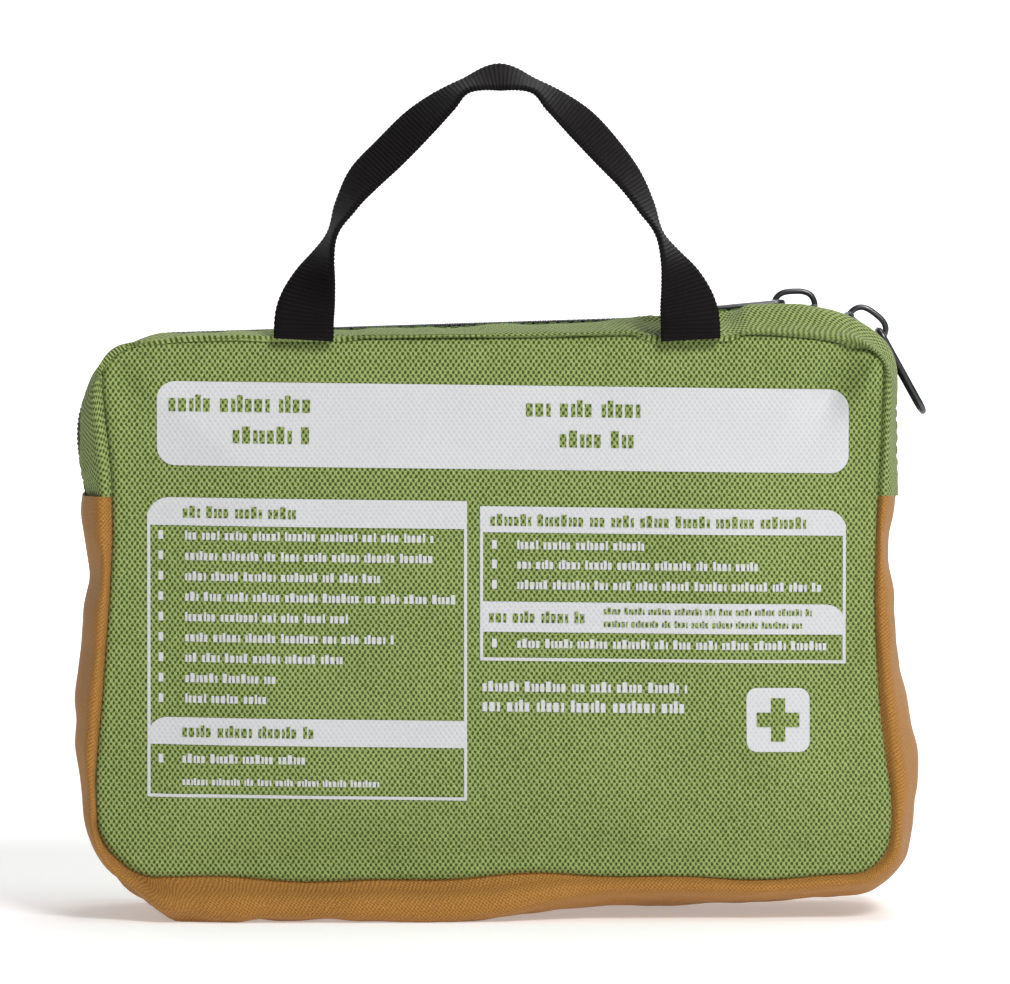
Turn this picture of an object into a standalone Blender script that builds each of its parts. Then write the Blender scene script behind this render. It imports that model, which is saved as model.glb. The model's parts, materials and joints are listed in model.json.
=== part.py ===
"""First aid kit: a zipped pack-cloth bag with a webbing handle, and the supplies inside it.

Metres, +Z up, +X to the right and +Y to the back. The front panel faces -Y, the zip lies midway
between the front and the back panel, and the origin is at the middle of the base.
The zip runs over the top and a little way down each side. Opened, the back of the bag folds
out about a line through both ends of the zip.
"""

import math

import bmesh
import bpy
from mathutils import Matrix, Vector

MM = 0.001
GAP = 0.3 * MM  # between pieces that touch
CUT_SLACK = 0.001 * MM  # a mesh holds 32-bit numbers

# Bag
HALF_WIDTH = 103 * MM
HALF_DEPTH = 29 * MM
HEIGHT = 147 * MM
CLOTH = 1.5 * MM  # pack cloth and its lining together
CROWN = 4 * MM  # how far the front and back panels swell
SIDE_TUCK = 4 * MM  # how much narrower the bag is at the panels than at the zip
TOP_RISE = 6.5 * MM  # how much higher the zip is over the right side than over the left
TOP_RADIUS_AT_ZIP = 22 * MM
TOP_RADIUS_AT_SEAM = 12 * MM
BOTTOM_RADIUS = 16 * MM
ZIP_END_Z = 107 * MM  # the green gusset and the zip end here, at the tan gusset
FLAP_Z = 131 * MM  # above this the open back turns as one piece

# Zip, as distances from its middle plane
COIL_IN = 0.6 * MM
COIL_OUT = 3.0 * MM
TAPE_OUT = 6.7 * MM
GUSSET_IN = 7.0 * MM
COIL_PROUD = 0.3 * MM
COIL_THICK = 2.0 * MM
TAPE_SUNK = 0.3 * MM
TAPE_THICK = 0.8 * MM

# Sliders, measured from the coil's middle
SLIDER_LENGTH = 13 * MM
SLIDER_WIDTH = 11 * MM
PLATE_THICK = 1.0 * MM
TOP_PLATE_LOW = 1.4 * MM
BOTTOM_PLATE_HIGH = -2.4 * MM
SLIDER_LEFT_X = 77.5 * MM
SLIDER_RIGHT_ANGLE = math.radians(38)  # round the corner's arc, from straight up
PLATE_TAIL_DROP = 0.8 * MM  # the top plate thins towards its tail
PLATE_TAIL_LENGTH = 3.1 * MM
CROWN_LOOP_LENGTH = 12 * MM
CROWN_LOOP_FOOT = 1.6 * MM
CROWN_LOOP_TOP = 7.3 * MM
CROWN_LOOP_WIRE = 1.5 * MM
CROWN_LOOP_WIDTH = 2.4 * MM

# Pulls
PULL_LENGTH = 24.5 * MM
PULL_WIDTH = 8.2 * MM
PULL_WIRE = 1.8 * MM
PIVOT_RISE = 3.8 * MM  # pivot above the coil's middle
PIVOT_SHIFT = 3.2 * MM  # pivot towards the slider's tail
PULL_LEFT_DROP = math.radians(3.5)  # below the slider's plate
PULL_RIGHT_DROP = math.radians(20)

# Handle
WEBBING_WIDTH = 15 * MM
WEBBING_THICK = 1.5 * MM
HANDLE_PIVOT = Vector((0, -HALF_DEPTH - 0.8 * MM, HEIGHT + 0.6 * MM))

# Free room inside the bag
INSIDE_LEFT = -96 * MM
FLOOR_LEFT = -87 * MM  # where the floor is flat, inside the lower corner
INSIDE_FRONT = -20.7 * MM
INSIDE_FLOOR = CLOTH + 0.5 * MM

COLOURS = {
    "green_cloth": (0.17, 0.31, 0.05, 0.9, 0.0),
    "tan_cloth": (0.43, 0.19, 0.04, 0.8, 0.0),
    "webbing": (0.008, 0.007, 0.008, 0.85, 0.0),
    "zip_plastic": (0.03, 0.03, 0.035, 0.5, 0.0),
    "slider_metal": (0.05, 0.05, 0.055, 0.35, 0.9),
    "pocket_mesh": (0.02, 0.02, 0.02, 0.9, 0.0),
    "white_paper": (0.8, 0.8, 0.78, 0.8, 0.0),
    "foil": (0.75, 0.76, 0.78, 0.35, 0.6),
    "gauze": (0.85, 0.84, 0.8, 0.95, 0.0),
    "elastic_bandage": (0.62, 0.42, 0.28, 0.9, 0.0),
    "clear_plastic": (0.8, 0.84, 0.86, 0.25, 0.0),
    "brown_bottle": (0.16, 0.07, 0.02, 0.3, 0.0),
    "white_plastic": (0.85, 0.85, 0.84, 0.4, 0.0),
    "black_rubber": (0.015, 0.015, 0.015, 0.8, 0.0),
    "steel": (0.6, 0.6, 0.62, 0.25, 1.0),
    "booklet": (0.2, 0.42, 0.2, 0.6, 0.0),
}


# ---------------------------------------------------------------- helpers


def clear_scene():
    for old in list(bpy.data.objects):
        bpy.data.objects.remove(old, do_unlink=True)


def material(name):
    found = bpy.data.materials.get(name)
    if found:
        return found
    red, green, blue, roughness, metallic = COLOURS[name]
    made = bpy.data.materials.new(name)
    made.use_nodes = True
    shader = made.node_tree.nodes["Principled BSDF"]
    shader.inputs["Base Color"].default_value = (red, green, blue, 1)
    shader.inputs["Roughness"].default_value = roughness
    shader.inputs["Metallic"].default_value = metallic
    return made


def add_object(name, bm, finish, smooth=40):
    """An object from a closed bmesh, its faces turned outwards."""
    bmesh.ops.recalc_face_normals(bm, faces=bm.faces)
    mesh = bpy.data.meshes.new(name)
    bm.to_mesh(mesh)
    bm.free()
    mesh.shade_smooth()
    mesh.set_sharp_from_angle(angle=math.radians(smooth))
    made = bpy.data.objects.new(name, mesh)
    made.data.materials.append(material(finish))
    bpy.context.collection.objects.link(made)
    return made


def add_pivot(name, place):
    """An empty on a joint's axis, for the pieces that turn or slide there."""
    pivot = bpy.data.objects.new(name, None)
    pivot.empty_display_size = 0.01
    pivot.location = place
    bpy.context.collection.objects.link(pivot)
    return pivot


def hang_on(pivot, pieces):
    for piece in pieces:
        piece.data.transform(Matrix.Translation(-pivot.location))
        piece.parent = pivot


def sheet(name, outer, inner, finish):
    """A closed sheet between two grids of points, given as rows of equal length."""
    bm = bmesh.new()
    rows, columns = len(outer), len(outer[0])
    faces = [[bm.verts.new(p) for row in grid for p in row] for grid in (outer, inner)]

    def quad(side, r, c):
        corner = [(r, c), (r, c + 1), (r + 1, c + 1), (r + 1, c)]
        return [faces[side][i * columns + j] for i, j in corner]

    for r in range(rows - 1):
        for c in range(columns - 1):
            bm.faces.new(quad(0, r, c))
            bm.faces.new(quad(1, r, c)[::-1])
    rim = [(0, c) for c in range(columns)] + [(r, columns - 1) for r in range(1, rows)]
    rim += [(rows - 1, c) for c in range(columns - 2, -1, -1)]
    rim += [(r, 0) for r in range(rows - 2, 0, -1)]
    for (r0, c0), (r1, c1) in zip(rim, rim[1:] + rim[:1]):
        a, b = r0 * columns + c0, r1 * columns + c1
        bm.faces.new((faces[0][b], faces[0][a], faces[1][a], faces[1][b]))
    return add_object(name, bm, finish)


def box_mesh(low, high):
    bm = bmesh.new()
    bmesh.ops.create_cube(bm, size=1)
    size = [b - a for a, b in zip(low, high)]
    middle = [(a + b) / 2 for a, b in zip(low, high)]
    bmesh.ops.scale(bm, vec=size, verts=bm.verts)
    bmesh.ops.translate(bm, vec=middle, verts=bm.verts)
    return bm


def add_box(name, low, high, finish, bevel=0.0):
    made = add_object(name, box_mesh(low, high), finish)
    if bevel:
        rounding = made.modifiers.new("Bevel", "BEVEL")
        rounding.width = bevel
        rounding.segments = 2
    return made


def turned(name, profile, place, axis, finish, sides=28):
    """A profile of (radius, height) points spun about an axis through place."""
    bm = bmesh.new()
    points = [bm.verts.new((radius, 0, height)) for radius, height in profile]
    edges = [bm.edges.new(pair) for pair in zip(points, points[1:] + points[:1])]
    bmesh.ops.spin(
        bm, geom=points + edges, cent=(0, 0, 0), axis=(0, 0, 1),
        angle=2 * math.pi, steps=sides, use_merge=True,
    )
    bmesh.ops.remove_doubles(bm, verts=bm.verts, dist=1e-6)
    bmesh.ops.dissolve_degenerate(bm, edges=bm.edges, dist=1e-7)
    turn = Vector((0, 0, 1)).rotation_difference(Vector(axis)).to_matrix().to_4x4()
    bmesh.ops.transform(bm, matrix=Matrix.Translation(place) @ turn, verts=bm.verts)
    return add_object(name, bm, finish)


def extruded(outline, depth):
    """An outline of (x, z) points, extruded along Y to both sides of y = 0."""
    bm = bmesh.new()
    near = [bm.verts.new((x, -depth / 2, z)) for x, z in outline]
    far = [bm.verts.new((x, depth / 2, z)) for x, z in outline]
    bm.faces.new(near)
    bm.faces.new(far[::-1])
    for a in range(len(near)):
        b = (a + 1) % len(near)
        bm.faces.new((near[b], near[a], far[a], far[b]))
    return bm


def union(name, meshes, finish):
    """One closed body from meshes that overlap each other."""
    pieces = [add_object(f"{name}_{i}", bm, finish) for i, bm in enumerate(meshes)]
    whole = pieces[0]
    for piece in pieces[1:]:
        joining = whole.modifiers.new("Join", "BOOLEAN")
        joining.operation = "UNION"
        joining.object = piece
    evaluated = whole.evaluated_get(bpy.context.evaluated_depsgraph_get())
    mesh = bpy.data.meshes.new_from_object(evaluated)
    made = bpy.data.objects.new(name, mesh)
    bpy.context.collection.objects.link(made)
    for piece in pieces:
        bpy.data.objects.remove(piece, do_unlink=True)
    return made


# ---------------------------------------------------------------- the bag's shape


def towards_seam(y):
    """0 within the zip's width, 1 at the front or back panel."""
    return max(0.0, (abs(y) - GUSSET_IN) / (HALF_DEPTH - GUSSET_IN))


def half_width(y):
    return HALF_WIDTH - SIDE_TUCK * towards_seam(y) ** 2


def top_radius(y):
    return TOP_RADIUS_AT_ZIP + (TOP_RADIUS_AT_SEAM - TOP_RADIUS_AT_ZIP) * towards_seam(y)


def top_slope(y):
    """The slope of the bag's top at depth y: the zip climbs to the right, the seams are level."""
    return math.atan(TOP_RISE / (2 * HALF_WIDTH)) * (1 - towards_seam(y))


def top_line(x, y=0.0):
    """The height of the top's straight run at x and depth y."""
    return HEIGHT + (x + HALF_WIDTH) * math.tan(top_slope(y))


def corner_centre(side=1, y=0.0):
    """The middle of the left (side -1) or right (side 1) upper corner's arc at depth y."""
    x = side * (half_width(y) - top_radius(y))
    return Vector((x, 0, top_line(x, y) - top_radius(y) / math.cos(top_slope(y))))


def arc(x, z, radius, start, end, steps=24):
    """Points on an arc, its angles in degrees from +X towards +Z."""
    angles = [math.radians(start + (end - start) * i / steps) for i in range(steps + 1)]
    return [Vector((x + radius * math.cos(a), 0, z + radius * math.sin(a))) for a in angles]


def upper_outline(y, inset):
    """The bag's outline at depth y, up its left side, over the top and down its right side."""
    radius = top_radius(y) - inset
    left, right = corner_centre(-1, y), corner_centre(1, y)
    edge, foot = half_width(y) - inset, ZIP_END_Z - 10 * MM
    crest = 90 + math.degrees(top_slope(y))
    over = arc(left.x, left.z, radius, 180, crest) + arc(right.x, right.z, radius, crest, 0)
    return [Vector((-edge, 0, foot))] + over + [Vector((edge, 0, foot))]


def lower_outline(y, inset):
    """The bag's outline at depth y, down its left side, under it and up its right side."""
    radius = BOTTOM_RADIUS - inset
    x, z = half_width(y) - inset - radius, inset + radius
    left = Vector((-x - radius, 0, ZIP_END_Z))
    right = Vector((x + radius, 0, ZIP_END_Z))
    return [left] + arc(-x, z, radius, 180, 270) + arc(x, z, radius, 270, 360) + [right]


def clipped(points, low, high):
    """The part of a run of points between two heights, cut exactly there."""
    out = []
    for a, b in zip(points, points[1:]):
        cuts = [a, b]
        for level in (low, high):
            if min(a.z, b.z) < level < max(a.z, b.z):
                cuts.insert(1, a.lerp(b, (level - a.z) / (b.z - a.z)))
        cuts.sort(key=lambda p: (p - a).length)
        out += [p for p in cuts if low - CUT_SLACK <= p.z <= high + CUT_SLACK]
    return out


def spaced(points, count):
    """The same run with count points at equal distances."""
    lengths = [(b - a).length for a, b in zip(points, points[1:])]
    total = sum(lengths)
    out, passed, i = [], 0.0, 0
    for n in range(count):
        target = total * n / (count - 1)
        while i < len(lengths) - 1 and passed + lengths[i] < target:
            passed += lengths[i]
            i += 1
        share = min(1.0, (target - passed) / lengths[i]) if lengths[i] else 0.0
        out.append(points[i].lerp(points[i + 1], share))
    return out


def at_depth(points, y):
    return [Vector((p.x, y, p.z)) for p in points]


def strip(name, outline, depths, insets, low, high, count, finish, side=0):
    """A sheet along an outline between two heights; side -1 or 1 keeps the left or right run."""
    grids = []
    for inset in insets:
        rows = []
        for y in depths:
            run = [p for p in outline(y, inset) if side == 0 or p.x * side > 0]
            rows.append(at_depth(spaced(clipped(run, low, high), count), y))
        grids.append(rows)
    return sheet(name, *grids, finish)


def panel_half_width(z):
    """Half the width of the front and back panels at height z."""
    width, reach = half_width(HALF_DEPTH), 0.0
    if z < BOTTOM_RADIUS:
        reach, radius = BOTTOM_RADIUS - z, BOTTOM_RADIUS
    elif z > HEIGHT - TOP_RADIUS_AT_SEAM:
        reach, radius = z - HEIGHT + TOP_RADIUS_AT_SEAM, TOP_RADIUS_AT_SEAM
    else:
        return width
    return width - radius + math.sqrt(max(0.0, radius**2 - reach**2))


def panel(name, side, low, high, levels, finish):
    """A stretch of the front (side -1) or back (side 1) panel, crowned outwards."""
    outer, inner = [], []
    for z in [low + (high - low) * share for share in levels]:
        width = panel_half_width(z)
        places = [Vector((width * u / 6, 0, z)) for u in range(-6, 7)]
        swell = [
            CROWN * (1 - (p.x / width) ** 2) * (1 - (2 * z / HEIGHT - 1) ** 2) for p in places
        ]
        outer.append([Vector((p.x, side * (HALF_DEPTH + s), z)) for p, s in zip(places, swell)])
        inner.append(
            [Vector((p.x, side * (HALF_DEPTH - CLOTH + s), z)) for p, s in zip(places, swell)]
        )
    return sheet(name, outer, inner, finish)


def seam_depths(side):
    """Depths of a zip gusset's rows, from the zip's tape to the panel's seam."""
    far = HALF_DEPTH - CLOTH - GAP
    return [side * (GUSSET_IN + (far - GUSSET_IN) * i / 4) for i in range(5)]


FULL_LEVELS = [0, 0.02, 0.05, 0.11, 0.25, 0.42, 0.6, 0.78, 0.92, 0.97, 1]
LOWER_LEVELS = [0, 0.03, 0.07, 0.15, 0.35, 0.6, 0.8, 1]
FOLD_LEVELS = [0, 0.5, 1]
UPPER_LEVELS = [0, 0.25, 0.6, 0.85, 1]


def make_panels():
    panel("front_panel", -1, 0, HEIGHT, FULL_LEVELS, "green_cloth")
    panel("back_panel", 1, 0, ZIP_END_Z, LOWER_LEVELS, "green_cloth")
    panel("back_panel_fold", 1, ZIP_END_Z + GAP, FLAP_Z, FOLD_LEVELS, "green_cloth")
    return [panel("back_panel_top", 1, FLAP_Z + GAP, HEIGHT, UPPER_LEVELS, "green_cloth")]


def make_lower_gusset():
    edge = HALF_DEPTH - CLOTH - GAP
    depths = [edge * share for share in (-1, -0.6, -0.25, 0.25, 0.6, 1)]
    strip(
        "lower_gusset", lower_outline, depths, (0, CLOTH), -1, ZIP_END_Z - GAP, 40, "tan_cloth"
    )


def zip_strips():
    """Kind of strip, its depths for one side, its two insets and its finish."""
    return {
        "gusset": (seam_depths, (0, CLOTH), "green_cloth"),
        "tape": (
            lambda side: [side * (COIL_OUT + GAP), side * TAPE_OUT],
            (TAPE_SUNK, TAPE_SUNK + TAPE_THICK),
            "zip_plastic",
        ),
        "coil": (
            lambda side: [side * COIL_IN, side * COIL_OUT],
            (-COIL_PROUD, COIL_THICK - COIL_PROUD),
            "zip_plastic",
        ),
    }


NODE_NAMES = {"gusset": "zip_gusset", "tape": "zipper_tape", "coil": "zipper_coil"}


def make_zip():
    """The gusset, tape and coil of each half. The back half has folding ends and a rigid top."""
    flap = []
    for kind, (depths, insets, finish) in zip_strips().items():
        name = NODE_NAMES[kind]
        strip(
            f"{name}_front", upper_outline, depths(-1), insets, ZIP_END_Z + GAP, 1, 52, finish
        )
        flap.append(
            strip(f"{name}_back", upper_outline, depths(1), insets, FLAP_Z + GAP, 1, 44, finish)
        )
    gusset_depths, gusset_insets, _ = zip_strips()["gusset"]
    zip_depths = [COIL_IN, TAPE_OUT]
    for side, word in ((-1, "left"), (1, "right")):
        for name, depths, insets, finish in (
            (f"zip_gusset_back_{word}_end", gusset_depths(1), gusset_insets, "green_cloth"),
            (f"zipper_back_{word}_end", zip_depths, (0, COIL_THICK / 2), "zip_plastic"),
        ):
            strip(
                name, upper_outline, depths, insets, ZIP_END_Z + GAP, FLAP_Z, 7, finish, side
            )
    return flap


# ---------------------------------------------------------------- sliders, pulls and handle


def rounded_arch(half_length, foot, top, steps=12):
    """Points over a squarish arch, from +X to -X."""
    squareness = 2 / 3
    out = []
    for i in range(steps + 1):
        angle = math.pi * i / steps
        x = math.copysign(abs(math.cos(angle)) ** squareness, math.cos(angle))
        out.append((half_length * x, foot + (top - foot) * math.sin(angle) ** squareness))
    return out


def make_slider(name, tail):
    """A slider about the coil's middle: two plates, the post between them and the crown loop.

    tail is the side, -1 or 1 along X, of the closed row. The post parts the rows at the other.
    """
    half_length, half_wide = SLIDER_LENGTH / 2, SLIDER_WIDTH / 2
    top = TOP_PLATE_LOW + PLATE_THICK
    top_plate = extruded([
        (-tail * half_length, TOP_PLATE_LOW), (tail * half_length, TOP_PLATE_LOW),
        (tail * half_length, top - PLATE_TAIL_DROP),
        (tail * (half_length - PLATE_TAIL_LENGTH), top), (-tail * half_length, top),
    ], SLIDER_WIDTH)
    bottom_plate = box_mesh(
        (-half_length, -half_wide, BOTTOM_PLATE_HIGH - PLATE_THICK),
        (half_length, half_wide, BOTTOM_PLATE_HIGH),
    )
    sunk = 0.5 * MM  # the post is let into both plates
    post_ends = sorted((-tail * 1.5 * MM, -tail * 6 * MM))
    post_half = COIL_IN - GAP
    post = box_mesh(
        (post_ends[0], -post_half, BOTTOM_PLATE_HIGH - sunk),
        (post_ends[1], post_half, TOP_PLATE_LOW + sunk),
    )
    half_loop = CROWN_LOOP_LENGTH / 2
    outer = rounded_arch(half_loop, CROWN_LOOP_FOOT, CROWN_LOOP_TOP)
    inner = rounded_arch(
        half_loop - CROWN_LOOP_WIRE, CROWN_LOOP_FOOT, CROWN_LOOP_TOP - CROWN_LOOP_WIRE
    )
    crown = extruded(outer + inner[::-1], CROWN_LOOP_WIDTH)
    return union(name, [top_plate, bottom_plate, post, crown], "slider_metal")


def make_pull(name):
    """A long wire loop from its pivot at the origin, lying along +X."""
    bend = 2.2 * MM
    half_wide = (PULL_WIDTH - PULL_WIRE) / 2
    far = PULL_LENGTH - PULL_WIRE / 2
    corners = [
        (bend, -half_wide + bend, 180, 270), (far - half_wide, 0, 270, 450),
        (bend, half_wide - bend, 90, 180),
    ]
    radii = (bend, half_wide, bend)
    path = []
    for (x, y, start, end), radius in zip(corners, radii):
        steps = 8 if radius == half_wide else 3
        path += [(p.x, p.z) for p in arc(x, y, radius, start, end, steps)]
    curve = bpy.data.curves.new(name, "CURVE")
    curve.dimensions = "3D"
    curve.bevel_depth = PULL_WIRE / 2
    curve.bevel_resolution = 1
    line = curve.splines.new("POLY")
    line.points.add(len(path) - 1)
    for point, (x, y) in zip(line.points, path):
        point.co = (x, y, 0, 1)
    line.use_cyclic_u = True
    guide = bpy.data.objects.new(f"{name}_path", curve)
    bpy.context.collection.objects.link(guide)
    evaluated = guide.evaluated_get(bpy.context.evaluated_depsgraph_get())
    mesh = bpy.data.meshes.new_from_object(evaluated)
    bpy.data.objects.remove(guide, do_unlink=True)
    bm = bmesh.new()
    bm.from_mesh(mesh)
    return add_object(name, bm, "slider_metal", smooth=60)


COIL_MIDDLE_INSET = COIL_THICK / 2 - COIL_PROUD


def coil_middle_on_top(x):
    """A point on the coil's middle line, on the straight run of the top."""
    return Vector((x, 0, top_line(x) - COIL_MIDDLE_INSET / math.cos(top_slope(0))))


def coil_middle_on_corner(angle):
    """A point on the coil's middle line, at an angle round the upper right corner."""
    radius = TOP_RADIUS_AT_ZIP - COIL_MIDDLE_INSET
    return corner_centre() + Vector((math.sin(angle), 0, math.cos(angle))) * radius


def make_sliders():
    """Both sliders, each with its pull, on their joints' pivots."""
    left_place = coil_middle_on_top(SLIDER_LEFT_X)
    right_place = coil_middle_on_corner(SLIDER_RIGHT_ANGLE)
    plans = (
        ("left", left_place, -top_slope(0), -1, math.pi - PULL_LEFT_DROP, left_place),
        ("right", right_place, SLIDER_RIGHT_ANGLE, 1, PULL_RIGHT_DROP, corner_centre()),
    )
    for word, place, lean, tail, pull_turn, travel_pivot in plans:
        tilt = Matrix.Rotation(lean, 4, "Y")
        slider = make_slider(f"slider_{word}", tail)
        slider.data.transform(Matrix.Translation(place) @ tilt)
        hang_on(add_pivot(f"slider_{word}_travel", travel_pivot), [slider])
        pivot_place = place + tilt @ Vector((tail * PIVOT_SHIFT, 0, PIVOT_RISE))
        pull = make_pull(f"pull_{word}")
        pull.data.transform(tilt @ Matrix.Rotation(pull_turn, 4, "Y"))
        pull.data.transform(Matrix.Translation(pivot_place))
        hang_on(add_pivot(f"pull_{word}_swing", pivot_place), [pull])


def make_handle():
    """Webbing from seam to seam. Each leg stands flat at the seam and twists on its way up."""
    # across and up in mm, and the width's turn out of the front plane in degrees
    leg = [
        (48.0, 148.0, 0), (47.5, 153.0, 12), (45.5, 161.0, 45), (41.5, 172.0, 76),
        (36.0, 181.0, 70), (27.5, 190.5, 52), (18.0, 200.0, 50), (9.0, 208.5, 62),
    ]
    route = [(-x, z, turn, -1) for x, z, turn in leg] + [(0, 211.5, 66, 0)]
    route += [(x, z, turn, 1) for x, z, turn in leg[::-1]]
    middle = [Vector((x * MM, HANDLE_PIVOT.y, z * MM)) for x, z, _, _ in route]
    middle[0].z = middle[-1].z = HANDLE_PIVOT.z
    bm = bmesh.new()
    rings = []
    for i, (point, (_, _, turn, side)) in enumerate(zip(middle, route)):
        along = middle[min(i + 1, len(middle) - 1)] - middle[max(i - 1, 0)]
        if i in (0, len(middle) - 1):
            along = Vector((0, 0, -side))
        along.normalize()
        in_plane = along.cross(Vector((0, 1, 0)))
        angle = math.radians(turn)
        across = in_plane * math.cos(angle) + Vector((0, 1, 0)) * math.sin(angle)
        normal = along.cross(across)
        corners = [(-1, -1), (1, -1), (1, 1), (-1, 1)]
        rings.append([
            bm.verts.new(point + across * a * WEBBING_WIDTH / 2 + normal * b * WEBBING_THICK / 2)
            for a, b in corners
        ])
    for one, two in zip(rings, rings[1:]):
        for a in range(4):
            b = (a + 1) % 4
            bm.faces.new((one[a], one[b], two[b], two[a]))
    bm.faces.new(rings[0][::-1])
    bm.faces.new(rings[-1])
    hang_on(add_pivot("handle_swing", HANDLE_PIVOT), [add_object("handle", bm, "webbing")])


# ---------------------------------------------------------------- inside


def make_pocket():
    """A mesh slip pocket on the front panel's inside, open at the top."""
    half, low, high = 62 * MM, 4 * MM, 96 * MM
    back, front, thick = -22.0 * MM, -27.2 * MM, 0.8 * MM
    inner_x, outer_x = half - 5 * MM, half
    corner = 2 * MM
    rows = []
    for inset in (0.0, thick):
        line = [
            (-outer_x + inset, front), (-outer_x + inset, back - corner - inset),
            (-outer_x + corner + inset, back - inset), (-inner_x, back - inset),
            (0, back - inset), (inner_x, back - inset),
            (outer_x - corner - inset, back - inset), (outer_x - inset, back - corner - inset),
            (outer_x - inset, front),
        ]
        rows.append([[Vector((x, y, z)) for x, y in line] for z in (low, (low + high) / 2, high)])
    sheet("inner_pocket", rows[0], rows[1], "pocket_mesh")
    add_box(
        "pocket_elastic",
        (-inner_x, back - 1.4 * MM, high + GAP), (inner_x, back + 0.6 * MM, high + 8 * MM),
        "webbing", 0.5 * MM,
    )


def make_booklet():
    add_box(
        "first_aid_booklet", (-51 * MM, -26.6 * MM, INSIDE_FLOOR + 2 * MM),
        (51 * MM, -24.0 * MM, 136 * MM), "booklet", 0.6 * MM,
    )


def packet_steps(length, rim=4 * MM, shoulder=3.2 * MM):
    """Distances across a packet, each with whether the filled middle reaches it."""
    filled = rim + shoulder
    return [
        (0, False), (rim, False), (filled, True),
        (length - filled, True), (length - rim, False), (length, False),
    ]


def packet(name, left, low, width, height, front, thick, finish):
    """A flat sealed packet: a filled middle inside a thin crimped rim."""
    fill, seal = thick / 2, min(thick / 2, 0.35 * MM)
    grids = []
    for side in (-1, 1):
        rows = []
        for z, in_row in packet_steps(height):
            row = []
            for x, in_column in packet_steps(width):
                half = fill if in_row and in_column else seal
                row.append(Vector((left + x, front + thick / 2 + side * half, low + z)))
            rows.append(row)
        grids.append(rows)
    return sheet(name, grids[0], grids[1], finish)


def packets(name, count, left, low, width, height, front, thick, finish):
    """Equal packets one behind the other, a gap apart. Returns the depth behind the last."""
    for i in range(count):
        packet(f"{name}_{i + 1}", left, low, width, height, front, thick, finish)
        front += thick + 0.2 * MM
    return front


def make_packets():
    behind_gauze = packets(
        "gauze_dressing", 2, FLOOR_LEFT, INSIDE_FLOOR + MM, 100 * MM, 100 * MM,
        INSIDE_FRONT, 4.0 * MM, "white_paper",
    )
    packets(
        "alcohol_swab", 2, FLOOR_LEFT + 8 * MM, INSIDE_FLOOR + MM, 50 * MM, 52 * MM,
        behind_gauze, 1.6 * MM, "foil",
    )
    behind_dressings = packets(
        "nonadherent_dressing", 2, 14 * MM, INSIDE_FLOOR + MM, 73 * MM, 96 * MM,
        INSIDE_FRONT, 2.5 * MM, "white_paper",
    )
    packets(
        "antiseptic_wipe", 6, 15 * MM, INSIDE_FLOOR + MM, 70 * MM, 50 * MM,
        behind_dressings, 0.95 * MM, "foil",
    )
    packets(
        "ointment_packet", 3, 15 * MM, INSIDE_FLOOR + 53 * MM, 62 * MM, 26 * MM,
        behind_dressings, 1.8 * MM, "white_plastic",
    )
    packets(
        "antihistamine_packet", 2, 17 * MM, INSIDE_FLOOR + 81 * MM, 58 * MM, 38 * MM,
        behind_dressings, 2.0 * MM, "white_paper",
    )


MIDDLE_Y = 9.3 * MM  # the rolls, bottles and syringe lie on this depth


def make_roll(name, left, length, radius, finish):
    core, edge = 4 * MM, 0.6 * MM
    profile = [
        (core, 0), (radius - edge, 0), (radius, edge), (radius, length - edge),
        (radius - edge, length), (core, length),
    ]
    place = Vector((left, MIDDLE_Y, INSIDE_FLOOR + GAP + radius))
    turned(name, profile, place, (1, 0, 0), finish)


def make_triangular_bandage():
    low = INSIDE_FLOOR + 37 * MM
    add_box(
        "triangular_bandage", (INSIDE_LEFT, MIDDLE_Y - 7 * MM, low),
        (INSIDE_LEFT + 102 * MM, MIDDLE_Y + 7 * MM, low + 44 * MM), "gauze", 2.5 * MM,
    )


def make_bottle(word, x, radius, body, neck_radius, bottle_finish, cap_radius, cap_height):
    """A full, sealed bottle standing on the floor of the bag, and its screw cap."""
    floor = INSIDE_FLOOR + GAP
    place = Vector((x, MIDDLE_Y, floor))
    neck_top = body + 11 * MM
    profile = [
        (0, 0), (radius - 1.5 * MM, 0), (radius, 1.5 * MM), (radius, body - 6 * MM),
        (radius * 0.8, body - 1.5 * MM), (neck_radius, body), (neck_radius, neck_top),
        (0, neck_top),
    ]
    turned(f"{word}_bottle", profile, place, (0, 0, 1), bottle_finish)
    skirt = body + GAP
    roof = neck_top + GAP
    cap = [
        (0, roof), (neck_radius + GAP, roof), (neck_radius + GAP, skirt), (cap_radius, skirt),
        (cap_radius, skirt + cap_height - MM), (cap_radius - MM, skirt + cap_height),
        (0, skirt + cap_height),
    ]
    made = turned(f"{word}_cap", cap, place, (0, 0, 1), "white_plastic")
    return made, place


def make_bottles():
    make_bottle("saline", 29 * MM, 15.5 * MM, 66 * MM, 7 * MM, "clear_plastic", 9 * MM, 15 * MM)
    cap, place = make_bottle(
        "peroxide", 62 * MM, 16 * MM, 56 * MM, 8 * MM, "brown_bottle", 11 * MM, 14 * MM
    )
    hang_on(add_pivot("peroxide_cap_turn", place), [cap])


SYRINGE_Z = 101 * MM
SYRINGE_TIP = -92 * MM
BARREL_LENGTH = 78 * MM
BARREL_OUTER = 8.6 * MM
BARREL_INNER = 7.5 * MM


def syringe_piece(name, profile, finish):
    return turned(name, profile, Vector((SYRINGE_TIP, MIDDLE_Y, SYRINGE_Z)), (1, 0, 0), finish)


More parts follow.
